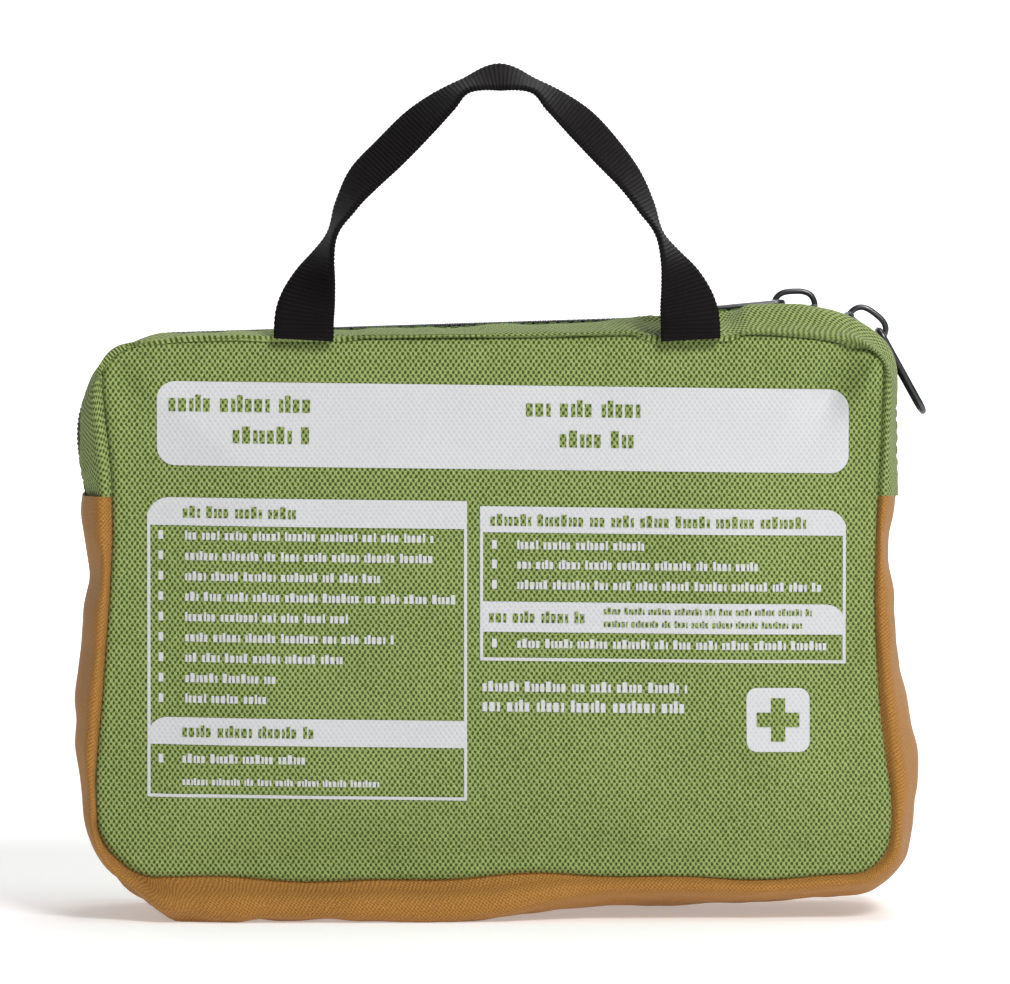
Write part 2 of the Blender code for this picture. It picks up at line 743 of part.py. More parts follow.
def make_syringe():
    """Along +X from the tip cap: nozzle, barrel and finger flange, with the plunger pushed in."""
    nozzle, nozzle_long = 2.2 * MM, 14 * MM
    start = nozzle_long  # the barrel's front wall
    end = start + BARREL_LENGTH
    wall_end = start + 2 * MM
    flange, flange_start = 12 * MM, end - 2 * MM
    nozzle_tip = 3 * MM
    syringe_piece("syringe_barrel", [
        (0, nozzle_tip), (nozzle, nozzle_tip), (nozzle, start), (BARREL_OUTER - MM, start),
        (BARREL_OUTER, start + MM), (BARREL_OUTER, flange_start), (flange, flange_start),
        (flange, end), (BARREL_INNER, end), (BARREL_INNER, wall_end), (0, wall_end),
    ], "clear_plastic")
    cap, cap_long = 4.5 * MM, 12 * MM
    syringe_piece("syringe_tip_cap", [
        (0, 0), (cap - 0.5 * MM, 0), (cap, MM), (cap, cap_long), (nozzle + GAP, cap_long),
        (nozzle + GAP, nozzle_tip - GAP), (0, nozzle_tip - GAP),
    ], "white_plastic")
    seal_start = wall_end + GAP
    seal_end = seal_start + 7 * MM
    wall = BARREL_INNER - GAP
    seal = syringe_piece("plunger_seal", [
        (0, seal_start), (wall - MM, seal_start), (wall, seal_start + MM),
        (wall, seal_end), (0, seal_end),
    ], "black_rubber")
    rod_start = seal_end + GAP
    rod_end = end + 8 * MM
    rod, disc, thumb = 3.2 * MM, 6.5 * MM, 10 * MM
    thumb_start = rod_end - 2 * MM
    plunger = syringe_piece("syringe_plunger", [
        (0, rod_start), (disc, rod_start), (disc, rod_start + 1.5 * MM),
        (rod, rod_start + 3 * MM), (rod, thumb_start), (thumb, thumb_start),
        (thumb, rod_end), (0, rod_end),
    ], "white_plastic")
    pivot = add_pivot("plunger_travel", Vector((SYRINGE_TIP, MIDDLE_Y, SYRINGE_Z)))
    hang_on(pivot, [seal, plunger])


FORCEPS_X = 86.5 * MM
FORCEPS_TAIL_Z = 94 * MM


def make_forceps():
    """Two sprung arms, standing with their tips down, that meet at the tail."""
    tips_z, width = INSIDE_FLOOR + 2 * MM, 8 * MM
    length = FORCEPS_TAIL_Z - tips_z
    arms = []
    for side, word in ((-1, "left"), (1, "right")):
        # distance from the middle plane, at shares of the way from the tail to the tips
        bow = ((0, 0.2), (0.12, 1.6), (0.45, 5.0), (0.8, 4.6), (1, 2.6))
        inner, outer = [], []
        for share, away in bow:
            z = FORCEPS_TAIL_Z - length * share
            half = (width / 2) * (1 - 0.72 * max(0.0, share - 0.45) / 0.55)
            for rows, thick in ((inner, 0.0), (outer, 1.1 * MM)):
                x = FORCEPS_X + side * (away * MM + thick)
                rows.append([Vector((x, MIDDLE_Y - half, z)), Vector((x, MIDDLE_Y + half, z))])
        arms.append(sheet(f"forceps_arm_{word}", outer, inner, "steel"))
    hang_on(
        add_pivot("forceps_squeeze", Vector((FORCEPS_X, MIDDLE_Y, FORCEPS_TAIL_Z))), [arms[1]]
    )


def make_contents():
    make_pocket()
    make_booklet()
    make_packets()
    make_roll("elastic_bandage_roll", FLOOR_LEFT, 49 * MM, 16.8 * MM, "elastic_bandage")
    make_roll("conforming_gauze_roll", FLOOR_LEFT + 50 * MM, 48 * MM, 16 * MM, "gauze")
    make_triangular_bandage()
    make_bottles()
    make_syringe()
    make_forceps()


# ---------------------------------------------------------------- the whole


def centre_on_base():
    """Bring the middle of the whole kit's base to the origin."""
    bpy.context.view_layer.update()
    pieces = [o for o in bpy.data.objects if o.type == "MESH"]
    corners = [o.matrix_world @ v.co for o in pieces for v in o.data.vertices]
    low = Vector([min(c[i] for c in corners) for i in range(3)])
    high = Vector([max(c[i] for c in corners) for i in range(3)])
    shift = Vector((-(low.x + high.x) / 2, -(low.y + high.y) / 2, -low.z))
    for thing in bpy.data.objects:
        if thing.parent is None:
            thing.location += shift
    bpy.context.view_layer.update()


def main():
    clear_scene()
    flap = make_panels()
    make_lower_gusset()
    flap += make_zip()
    hang_on(add_pivot("flap_fold", Vector((0, 0, ZIP_END_Z))), flap)
    make_sliders()
    make_handle()
    make_contents()
    centre_on_base()


main()
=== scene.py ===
"""First aid kit: the finished looks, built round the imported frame.

Lengths are in mm in the bag's own axes (x from its middle, y from the zip's plane with the front
panel at -y, z up from the floor), and place() turns them into the frame's metres.
"""

import json
import math

import bmesh
import bpy
import numpy as np
from mathutils import Matrix, Vector, noise
from mathutils.bvhtree import BVHTree


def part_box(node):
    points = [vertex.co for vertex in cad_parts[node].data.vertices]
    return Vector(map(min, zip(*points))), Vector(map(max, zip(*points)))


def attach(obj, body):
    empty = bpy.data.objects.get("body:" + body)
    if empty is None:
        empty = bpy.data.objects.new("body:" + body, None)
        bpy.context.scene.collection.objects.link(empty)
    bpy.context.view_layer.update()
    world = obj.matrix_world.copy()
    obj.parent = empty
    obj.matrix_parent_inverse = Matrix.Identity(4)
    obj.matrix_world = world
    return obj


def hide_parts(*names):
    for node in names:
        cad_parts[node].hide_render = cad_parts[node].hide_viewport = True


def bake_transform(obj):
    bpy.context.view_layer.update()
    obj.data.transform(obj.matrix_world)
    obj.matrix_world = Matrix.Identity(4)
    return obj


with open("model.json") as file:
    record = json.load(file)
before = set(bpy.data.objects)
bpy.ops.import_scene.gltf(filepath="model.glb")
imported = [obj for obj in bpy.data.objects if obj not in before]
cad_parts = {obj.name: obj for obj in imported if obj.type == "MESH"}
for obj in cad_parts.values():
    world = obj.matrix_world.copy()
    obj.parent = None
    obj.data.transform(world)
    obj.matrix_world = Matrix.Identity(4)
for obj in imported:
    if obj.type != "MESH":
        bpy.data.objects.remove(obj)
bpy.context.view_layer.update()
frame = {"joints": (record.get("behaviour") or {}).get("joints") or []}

MM = 0.001

# ---------------------------------------------------------------- sizes

panel_low, panel_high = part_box("front_panel")
ORIGIN = np.array([
    (panel_low.x + panel_high.x) / 2,
    (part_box("zipper_coil_front")[1].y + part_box("zipper_coil_back")[0].y) / 2,
    0.0,
])
JOINTS = {j["name"]: j for j in frame["joints"]}

WIDE = (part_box("lower_gusset")[1].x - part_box("lower_gusset")[0].x) / 2 / MM
TOP = panel_high.z / MM
FOLD_Z = JOINTS["flap_fold"]["pos_m"][2] / MM

SEAM_Y = 27.0  # the panels' seams, in front of and behind the zip
SEAM_HALF = 98.0
SEAM_LOW = 11.2
SEAM_TOP_RADIUS = 5.5
SEAM_LOW_RADIUS = 13.5
SEAM_LOW_RADIUS_RIGHT = 8.5
ZIP_TOP_RADIUS = 22.0
LOW_RADIUS = 14.5
GUSSET_Y = 7.0  # a zip gusset's edge beside the zip
TAPE_OUT = 7.6
COIL_IN, COIL_OUT = 0.35, 3.1
CLOTH = 0.7
slide_axis = JOINTS["slider_left_travel"]["axis"]
SLOPE = math.atan2(slide_axis[2], slide_axis[0])  # the zip's climb to the right

WEAVE = (0.67, 0.93)  # one thread of the pack cloth, across and up


def place(points):
    return np.asarray(points, float) * MM + ORIGIN


# ---------------------------------------------------------------- materials


class Graph:
    """Short names for making a material's nodes."""

    def __init__(self, name, colour, roughness, metallic=0.0):
        self.material = bpy.data.materials.new(name)
        self.material.use_nodes = True
        self.tree = self.material.node_tree
        self.shader = self.tree.nodes["Principled BSDF"]
        self.set("Base Color", (*colour, 1))
        self.set("Roughness", roughness)
        self.set("Metallic", metallic)

    def set(self, name, value):
        if isinstance(value, bpy.types.NodeSocket):
            self.tree.links.new(value, self.shader.inputs[name])
        else:
            self.shader.inputs[name].default_value = value

    def node(self, kind, inputs=(), **settings):
        made = self.tree.nodes.new(kind)
        for name, value in settings.items():
            setattr(made, name, value)
        for key, value in dict(inputs).items():
            if isinstance(value, bpy.types.NodeSocket):
                self.tree.links.new(value, made.inputs[key])
            else:
                made.inputs[key].default_value = value
        return made

    def math(self, operation, a, b=0.0, clamp=False):
        inputs = {0: a} if b is None else {0: a, 1: b}
        return self.node("ShaderNodeMath", inputs, operation=operation, use_clamp=clamp).outputs[0]

    def step(self, value, low, high):
        """0 below low, 1 above high, smooth between."""
        made = self.node(
            "ShaderNodeMapRange", {"Value": value, "From Min": low, "From Max": high},
            interpolation_type="SMOOTHSTEP",
        )
        return made.outputs["Result"]

    def mix(self, share, a, b):
        made = self.node("ShaderNodeMix", {"Factor": share}, data_type="RGBA")
        for key, value in ((6, a), (7, b)):
            if isinstance(value, bpy.types.NodeSocket):
                self.tree.links.new(value, made.inputs[key])
            else:
                made.inputs[key].default_value = (*value, 1)
        return made.outputs[2]

    def noise(self, where, scale, detail=2.0):
        made = self.node("ShaderNodeTexNoise", {"Vector": where, "Scale": scale, "Detail": detail})
        return made.outputs["Fac"]

    def uv(self):
        return self.node("ShaderNodeUVMap", uv_map="cloth").outputs["UV"]

    def here(self):
        return self.node("ShaderNodeTexCoord").outputs["Object"]

    def split(self, vector):
        return self.node("ShaderNodeSeparateXYZ", {"Vector": vector}).outputs

    def bump(self, height, distance, strength=1.0):
        made = self.node(
            "ShaderNodeBump", {"Height": height, "Distance": distance, "Strength": strength}
        )
        self.set("Normal", made.outputs["Normal"])


def wave(graph, value, pitch):
    return graph.math("SINE", graph.math("MULTIPLY", value, math.pi / pitch), None)


def cloth_material(name, light, dark, pitch, relief, roughness=0.85, contrast=1.0):
    """Plain weave over UVs in mm: staggered low crossings between raised threads, the low crossings painted
    dark as painted shade.
    """
    g = Graph(name, light, roughness)
    uv = g.uv()
    loose = g.noise(uv, 0.9, 3.0)
    across, up, _ = g.split(uv)
    drift = g.math("MULTIPLY", g.math("SUBTRACT", loose, 0.5), 0.55)
    across = g.math("ADD", across, drift)
    up = g.math("ADD", up, drift)
    crossing = g.math("MULTIPLY", wave(g, across, pitch[0]), wave(g, up, pitch[1]))
    sunk = g.step(crossing, -0.35, 0.8)
    grain, broad = g.noise(uv, 1.8, 4.0), g.noise(uv, 0.035, 3.0)
    tone = g.math("ADD", g.math("MULTIPLY", grain, 1.1), g.math("MULTIPLY", broad, 0.4))
    # painted shade: the dark colour laid into the low crossings, plus random tone from the grain
    shade = g.math("ADD", g.math("MULTIPLY", sunk, contrast), g.math("SUBTRACT", tone, 0.66), True)
    g.set("Base Color", g.mix(shade, light, dark))
    height = g.math("SUBTRACT", g.math("MULTIPLY", grain, 0.5), sunk)
    g.bump(height, relief * MM)
    g.set("Sheen Weight", 0.08)
    g.set("Sheen Roughness", 0.4)
    g.set("Specular IOR Level", 0.25)
    return g.material


def webbing_material():
    g = Graph("webbing", (0.008, 0.007, 0.008), 0.75)
    across, along, _ = g.split(g.uv())
    ribs = g.math("ABSOLUTE", wave(g, along, 1.0), None)
    threads = g.math("ABSOLUTE", wave(g, g.math("ADD", across, g.math("MULTIPLY", along, 0.5)), 0.5), None)
    crest_highlight_noise = g.noise(g.uv(), 1.5, 4.0)
    # lighter on the rib crests: a painted highlight, uneven along the webbing
    g.set("Base Color", g.mix(g.math("MULTIPLY", crest_highlight_noise, ribs), (0.003, 0.0022, 0.0026), (0.011, 0.008, 0.009)))
    g.bump(g.math("ADD", ribs, g.math("MULTIPLY", threads, 0.4)), 0.12 * MM)
    g.set("Specular IOR Level", 0.14)
    return g.material


def tape_material():
    g = Graph("zip_tape", (0.02, 0.02, 0.022), 0.8)
    across, along, _ = g.split(g.uv())
    knit = g.math("MULTIPLY", wave(g, across, 0.45), wave(g, along, 0.35))
    # lighter on the knit's raised loops and darker between them: painted highlight and painted shade
    g.set("Base Color", g.mix(g.step(knit, -0.6, 0.6), (0.012, 0.012, 0.014), (0.045, 0.045, 0.05)))
    g.bump(knit, 0.1 * MM)
    return g.material


def speckled_material(name, colour, roughness, metallic=0.0, relief=0.03, scale=900.0, tint=0.75):
    """Moulded or cast stuff with fine grain and slightly uneven colour."""
    g = Graph(name, colour, roughness, metallic)
    here = g.here()
    fine, broad = g.noise(here, scale, 3.0), g.noise(here, 60.0, 3.0)
    darker = tuple(c * tint for c in colour)
    g.set("Base Color", g.mix(broad, darker, colour))
    g.set("Roughness", g.math("ADD", g.math("MULTIPLY", fine, 0.2), roughness - 0.1))
    g.bump(fine, relief * MM)
    return g.material


def ink_material():
    """Screen print: thick pale ink that still shows the weave under it."""
    g = Graph("print_ink", (0.62, 0.62, 0.64), 0.55)
    uv = g.uv()
    across, up, _ = g.split(uv)
    crossing = g.math("MULTIPLY", wave(g, across, WEAVE[0]), wave(g, up, WEAVE[1]))
    broad, grain = g.noise(uv, 0.05, 2.0), g.noise(uv, 2.2, 3.0)
    worn = g.math("MULTIPLY", g.math("MULTIPLY", g.step(crossing, 0.0, 0.9), grain), 0.55)
    g.set("Base Color", g.mix(worn, (0.66, 0.66, 0.68), (0.36, 0.40, 0.33)))
    g.set("Roughness", g.math("ADD", g.math("MULTIPLY", broad, 0.2), 0.45))
    g.bump(g.math("MULTIPLY", crossing, -1.0), 0.05 * MM)
    g.set("Specular IOR Level", 0.3)
    return g.material


def net_material():
    """Knitted mesh: threads round open holes."""
    g = Graph("net", (0.02, 0.02, 0.022), 0.7)
    across, up, _ = g.split(g.uv())
    hole = g.math("MULTIPLY", wave(g, across, 0.9), wave(g, up, 1.3))
    g.set("Alpha", g.step(g.math("MULTIPLY", hole, -1.0), -0.55, -0.35))
    g.bump(hole, 0.15 * MM)
    return g.material


def gauze_material(name, colour, pitch):
    """Open bandage weave, over the piece's own coordinates."""
    g = Graph(name, colour, 0.9)
    side, deep, up = g.split(g.here())
    lines = g.math("MULTIPLY", wave(g, side, pitch * MM), wave(g, g.math("ADD", deep, up), pitch * MM))
    fuzz = g.noise(g.here(), 700.0, 4.0)
    woven = g.math("MULTIPLY", g.step(lines, -0.3, 0.8), fuzz)
    shade = tuple(c * 0.45 for c in colour)
    g.set("Base Color", g.mix(woven, colour, shade))
    g.bump(g.math("ADD", lines, fuzz), 0.15 * MM)
    g.set("Sheen Weight", 0.2)
    return g.material


def packet_material(name, colour, metallic, crinkle):
    """Sealed film or paper with fine crimping and creases."""
    g = Graph(name, colour, 0.45 if metallic else 0.7, metallic)
    here = g.here()
    side, _, up = g.split(here)
    crimp = wave(g, g.math("ADD", side, up), 0.7 * MM)
    crease, fine = g.noise(here, 55.0, 5.0), g.noise(here, 900.0, 2.0)
    # darker where the crinkle dips: painted shade in the creases
    g.set("Base Color", g.mix(crease, tuple(c * 0.8 for c in colour), colour))
    g.set("Roughness", g.math("ADD", g.math("MULTIPLY", fine, 0.25), 0.3 if metallic else 0.55))
    g.bump(g.math("ADD", g.math("MULTIPLY", crease, crinkle), g.math("MULTIPLY", crimp, 0.06)), 1.0 * MM)
    return g.material


def clear_material(name, colour, roughness, clear):
    """Bottle and barrel plastics, with handling marks."""
    material = speckled_material(name, colour, roughness, 0.0, 0.01, 300.0, 0.92)
    shader = material.node_tree.nodes["Principled BSDF"]
    shader.inputs["Transmission Weight"].default_value = clear
    shader.inputs["IOR"].default_value = 1.45
    return material


# the _DARK colours are painted shade in the weave's low crossings, and the dark end of its random tone
GREEN_LIGHT, GREEN_DARK = (0.37, 0.46, 0.155), (0.058, 0.098, 0.012)
TAN_LIGHT, TAN_DARK = (0.52, 0.245, 0.052), (0.25, 0.10, 0.016)
MATERIALS = {
    "green": cloth_material("green_cloth", GREEN_LIGHT, GREEN_DARK, WEAVE, 0.3),
    "tan": cloth_material("tan_cloth", TAN_LIGHT, TAN_DARK, (0.5, 0.62), 0.2, 0.7, 0.55),
    "webbing": webbing_material(),
    "tape": tape_material(),
    "coil": speckled_material("zip_coil", (0.028, 0.028, 0.032), 0.4),
    "metal": speckled_material("slider_metal", (0.11, 0.11, 0.12), 0.32, 0.85),
    "ink": ink_material(),
    "thread": speckled_material("thread", (0.10, 0.18, 0.03), 0.7),
    "net": net_material(),
    "gauze": gauze_material("gauze", (0.78, 0.77, 0.73), 0.9),
    "elastic": gauze_material("elastic_bandage", (0.62, 0.42, 0.27), 0.6),
    "wrap": packet_material("dressing_wrap", (0.72, 0.74, 0.76), 0.0, 0.5),
    "paper": packet_material("packet_paper", (0.75, 0.75, 0.72), 0.0, 0.4),
    "foil": packet_material("packet_foil", (0.62, 0.63, 0.65), 0.75, 0.8),
    "ointment": packet_material("ointment_foil", (0.66, 0.66, 0.62), 0.3, 0.7),
    "booklet": packet_material("booklet_paper", (0.16, 0.27, 0.30), 0.0, 0.1),
    "pages": packet_material("pages", (0.78, 0.77, 0.72), 0.0, 0.1),
    "clear": clear_material("clear_plastic", (0.80, 0.86, 0.88), 0.18, 0.7),
    "brown": clear_material("brown_plastic", (0.16, 0.055, 0.015), 0.22, 0.35),
    "white": speckled_material("white_plastic", (0.72, 0.72, 0.72), 0.4),
    "rubber": speckled_material("black_rubber", (0.012, 0.012, 0.012), 0.6),
    "steel": speckled_material("forceps_steel", (0.45, 0.46, 0.47), 0.28, 1.0, 0.01),
}


# ---------------------------------------------------------------- meshes


def finish_piece(piece, body, slot, *nodes):
    """What every piece needs: its body and the CAD nodes that it stands for. The slot argument is not used.
    """
    if body:
        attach(piece, body)
    if nodes:
        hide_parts(*nodes)
    return piece


def add_mesh(name, verts, faces, material, uvs=None, smooth=50):
    mesh = bpy.data.meshes.new(name)
    mesh.from_pydata([tuple(v) for v in verts], [], faces)
    if uvs is not None:
        layer = mesh.uv_layers.new(name="cloth")
        loops = np.zeros(len(mesh.loops), int)
        mesh.loops.foreach_get("vertex_index", loops)
        layer.data.foreach_set("uv", np.asarray(uvs, float)[loops].ravel())
    mesh.materials.append(MATERIALS[material])
    mesh.validate()
    mesh.shade_smooth()
    mesh.set_sharp_from_angle(angle=math.radians(smooth))
    made = bpy.data.objects.new(name, mesh)
    bpy.context.collection.objects.link(made)
    return made


def normals_of(grid):
    across = np.gradient(grid, axis=1)
    along = np.gradient(grid, axis=0)
    out = np.cross(across, along)
    return out / np.maximum(np.linalg.norm(out, axis=2, keepdims=True), 1e-9)


def grid_uv(grid):
    """Distances in mm along and across a grid of points, from its middle row and column."""
    rows, columns = grid.shape[:2]
    along = np.linalg.norm(np.diff(grid, axis=0), axis=2)
    across = np.linalg.norm(np.diff(grid[rows // 2], axis=0), axis=1)
    v = np.concatenate([np.zeros((1, columns)), np.cumsum(along, axis=0)])
    u = np.concatenate([[0], np.cumsum(across)])
    return np.stack(np.broadcast_arrays(u[None, :], v - v[rows // 2]), axis=2)


def grid_faces(rows, columns):
    """The four-sided faces between a grid's points, row by row."""
    return [
        (i * columns + j, i * columns + j + 1, (i + 1) * columns + j + 1, (i + 1) * columns + j)
        for i in range(rows - 1) for j in range(columns - 1)
    ]


def rim_points(rows, columns):
    """The numbers of a grid's outer points, once round."""
    rim = [(0, k) for k in range(columns)] + [(k, columns - 1) for k in range(1, rows)]
    rim += [(rows - 1, k) for k in range(columns - 2, -1, -1)]
    rim += [(k, 0) for k in range(rows - 2, 0, -1)]
    return [i * columns + j for i, j in rim]


def cloth_piece(name, grid, material, outward, uv=None, thick=CLOTH, smooth=50):
    """A closed sheet from one grid of points, thick mm through, behind its outer side."""
    rows, columns = grid.shape[:2]
    normal = normals_of(grid)
    middle = normal[rows // 2, columns // 2]
    if np.dot(middle, outward(grid[rows // 2, columns // 2])) < 0:
        normal = -normal
    count = rows * columns
    verts = np.concatenate([grid.reshape(-1, 3), (grid - normal * thick).reshape(-1, 3)])
    r, c = np.meshgrid(np.arange(rows - 1), np.arange(columns - 1), indexing="ij")
    a = (r * columns + c).ravel()
    outer = np.stack([a, a + 1, a + columns + 1, a + columns], axis=1)
    cross = np.cross(verts[outer[0, 1]] - verts[outer[0, 0]], verts[outer[0, 3]] - verts[outer[0, 0]])
    if np.dot(cross, normal[0, 0]) < 0:
        outer = outer[:, ::-1]
    inner = outer[:, ::-1] + count
    ids = rim_points(rows, columns)
    edges = {tuple(e) for face in outer for e in zip(face, np.roll(face, -1))}
    sides = []
    for p, q in zip(ids, ids[1:] + ids[:1]):
        if (p, q) not in edges:
            p, q = q, p
        sides.append((q, p, p + count, q + count))
    flat = grid_uv(grid) if uv is None else uv
    uvs = np.concatenate([flat.reshape(-1, 2)] * 2)
    faces = [tuple(int(k) for k in f) for f in np.concatenate([outer, inner])] + sides
    return add_mesh(name, place(verts), faces, material, uvs, smooth)


def frames_along(path, sideways):
    """Unit vectors along a path, and across it on both sides, as near sideways as can be."""
    along = np.gradient(path, axis=0)
    along /= np.maximum(np.linalg.norm(along, axis=1, keepdims=True), 1e-9)
    side = sideways - (sideways * along).sum(1, keepdims=True) * along
    side /= np.maximum(np.linalg.norm(side, axis=1, keepdims=True), 1e-9)
    return along, side, np.cross(along, side)


def tube_data(path, radius, sides=8, closed=False, sideways=(0.0, 1.0, 0.0)):
    """Vertices and faces of a tube along a path; radius is one number or one for each point."""
    path = np.asarray(path, float)
    if closed:
        wrapped = np.concatenate([path[-1:], path, path[:1]])
        _, side, up = (a[1:-1] for a in frames_along(wrapped, np.array([sideways] * len(wrapped))))
    else:
        _, side, up = frames_along(path, np.array([sideways] * len(path)))
    angle = np.arange(sides) * 2 * math.pi / sides
    ring = np.cos(angle)[None, :, None] * side[:, None] + np.sin(angle)[None, :, None] * up[:, None]
    reach = np.broadcast_to(np.asarray(radius, float), (len(path),))[:, None, None]
    verts = (path[:, None] + ring * reach).reshape(-1, 3)
    faces = []
    rings = len(path)
    for i in range(rings if closed else rings - 1):
        j = (i + 1) % rings
        for k in range(sides):
            m = (k + 1) % sides
            faces.append((i * sides + k, j * sides + k, j * sides + m, i * sides + m))
    if not closed:
        faces.append(tuple(range(sides)))
        faces.append(tuple(range((rings - 1) * sides, rings * sides))[::-1])
    return verts, faces


def joined(parts):
    """One list of vertices and faces from several."""
    verts, faces, count = [], [], 0
    for points, polygons in parts:
        verts.append(points)
        faces += [tuple(i + count for i in f) for f in polygons]
        count += len(points)
    return np.concatenate(verts), faces


# ---------------------------------------------------------------- the bag's shape


def arc(x, z, radius, start, end, count):
    angle = np.radians(np.linspace(start, end, count))
    return np.stack([x + radius * np.cos(angle), z + radius * np.sin(angle)], axis=1)


def straight(a, b, count):
    return np.linspace(a, b, count)


def bell(value, middle, reach):
    return np.exp(-(((value - middle) / reach) ** 2))


def smooth_step(value, low, high):
    share = np.clip((value - low) / (high - low), 0, 1)
    return share * share * (3 - 2 * share)


UPPER_COUNTS = (30, 22, 170, 22, 30)  # points up a side, round a corner, over the top and down
LOWER_COUNTS = (90, 24, 160, 24, 90)


def chain(pieces):
    return np.concatenate([pieces[0]] + [p[1:] for p in pieces[1:]])


def zip_run():
    """The zip's line, up the left side, over the top and down the right side."""
    x = WIDE - ZIP_TOP_RADIUS
    left = TOP + (WIDE - x) * math.tan(SLOPE) - ZIP_TOP_RADIUS / math.cos(SLOPE)
    right = TOP + (WIDE + x) * math.tan(SLOPE) - ZIP_TOP_RADIUS / math.cos(SLOPE)
    crest = 90 + math.degrees(SLOPE)
    up, round_it, over, _, down = UPPER_COUNTS
    first = arc(-x, left, ZIP_TOP_RADIUS, 180, crest, round_it)
    last = arc(x, right, ZIP_TOP_RADIUS, crest, 0, round_it)
    run = chain([
        straight((-WIDE, FOLD_Z), first[0], up), first, straight(first[-1], last[0], over),
        last, straight(last[-1], (WIDE, FOLD_Z), down),
    ])
    run[:, 0] -= 2.5 * bell(run[:, 1], 122, 12) * (run[:, 0] < 0)
    return run


def seam_run_upper():
    x, z = SEAM_HALF - SEAM_TOP_RADIUS, TOP - SEAM_TOP_RADIUS
    up, round_it, over, _, down = UPPER_COUNTS
    return seam_shape(chain([
        straight((-SEAM_HALF, FOLD_Z), (-SEAM_HALF, z), up),
        arc(-x, z, SEAM_TOP_RADIUS, 180, 90, round_it), straight((-x, TOP), (x, TOP), over),
        arc(x, z, SEAM_TOP_RADIUS, 90, 0, round_it),
        straight((SEAM_HALF, z), (SEAM_HALF, FOLD_Z), down),
    ]))


def low_run(half, low, radius_left, radius_right):
    """Down the left side, under the bag and up the right side."""
    left, right = half - radius_left, half - radius_right
    down, round_it, under, _, up = LOWER_COUNTS
    return chain([
        straight((-half, FOLD_Z), (-half, low + radius_left), down),
        arc(-left, low + radius_left, radius_left, 180, 270, round_it),
        straight((-left, low), (right, low), under),
        arc(right, low + radius_right, radius_right, 270, 360, round_it),
        straight((half, low + radius_right), (half, FOLD_Z), up),
    ])


def seam_shape(run):
    """The slack of the seams: waisted sides, a bowed top and an uneven lower edge."""
    x, z = run[:, 0].copy(), run[:, 1].copy()
    left, right = np.clip(-x / SEAM_HALF, 0, 1) ** 6, np.clip(x / SEAM_HALF, 0, 1) ** 6
    out = run.copy()
    out[:, 0] += left * (2.2 * bell(z, 100, 26) - 2.2 * bell(z, 34, 20) - 0.8 * bell(z, 138, 10))
    out[:, 0] += right * (2.2 * bell(z, 27, 16) - 2.2 * bell(z, 84, 34))
    below = np.clip((40 - z) / 25, 0, 1) ** 2
    out[:, 1] += below * (0.7 * np.sin(x / 17 + 1) + 0.35 * np.sin(x / 6.1) - 0.6 * bell(x, -20, 20))
    above = np.clip((z - 120) / 25, 0, 1) ** 2
    out[:, 1] += above * (0.9 * bell(x, 50, 30) - 2.4 * bell(x, -99, 13) - 3.2 * bell(x, 100, 16))
    return out


def middle_shape(run):
    """How the lower gusset's middle line bulges and where it sits on the floor."""
    x, z = run[:, 0].copy(), run[:, 1].copy()
    left, right = np.clip(-x / WIDE, 0, 1) ** 8, np.clip(x / WIDE, 0, 1) ** 8
    out = run.copy()
    out[:, 0] -= left * (2.9 * bell(z, 52, 22) + 2.6 * bell(z, 102, 9) - 1.3 * bell(z, 87, 9))
    out[:, 0] += right * (6.2 * bell(z, 34, 23) - 1.8 * bell(z, 98, 9) - 1.0 * bell(z, 84, 12))
    sag = 0.8 * bell(x, -90, 7) * (z < 30)
    out += np.stack([sag, sag], axis=1)
    floor = np.clip((30 - z) / 30, 0, 1) ** 2
    rise = 1.8 * smooth_step(x, -12, 26) + 2.4 * smooth_step(x, 66, 92)
    out[:, 1] += floor * (rise + 0.25 * np.sin(x / 9) + 0.25)
    return out


def strip_grid(middle, seam, turns, depth, full, narrow=0.0):
    """Rows of points from the middle line (turn 0) to the seam (turn 90 degrees).

    full says how squarely the strip's section turns towards the seam, for all of it or for each
    point along it, and 2 is a plain ellipse.
    """
    outward = middle - np.array([0.0, 75.0])
    outward[:, 1] *= 1.3
    outward /= np.linalg.norm(outward, axis=1, keepdims=True)
    line = middle - outward * narrow
    rows = []
    for turn in turns:
        steep = abs(math.degrees(turn))
        ridge = 1.7 * math.sin(math.pi * np.clip((steep - 44) / 46, 0, 1)) ** 2
        groove = 2.2 * smooth_step(steep, 76, 90)
        share = np.abs(np.sin(turn)) ** (2 / np.asarray(full))
        y = np.sign(turn) * (depth * share + ridge - groove)
        square = np.clip(2.4 / np.asarray(full), 0.4, 0.95)
        fall = (1 - np.abs(np.cos(turn)) ** square) * np.ones(len(line))
        across = line + (seam - line) * fall[:, None]
        rows.append(np.column_stack([across[:, 0], np.full(len(line), 1.0) * y, across[:, 1]]))
    return np.stack(rows)


def wobble(points, scale, seed, octaves=2):
    """Smooth noise about 0 at each point, features about scale mm across."""
    flat = points.reshape(-1, 3) / scale
    shift = Vector((seed * 7.3, seed * 3.1, seed * 5.7))
    value = np.zeros(len(flat))
    for octave in range(octaves):
        grow = 2.0**octave
        value += [noise.noise(Vector(p) * grow + shift) / grow for p in flat]
    return value.reshape(points.shape[:-1])


# ---------------------------------------------------------------- cloth


def seam_run_lower():
    return seam_shape(low_run(SEAM_HALF, SEAM_LOW, SEAM_LOW_RADIUS, SEAM_LOW_RADIUS_RIGHT))


def outline_ring():
    """The seam, once round from the left fold line, down, under, up and over."""
    return np.concatenate([seam_run_lower()[:-1], seam_run_upper()[::-1][:-1]])


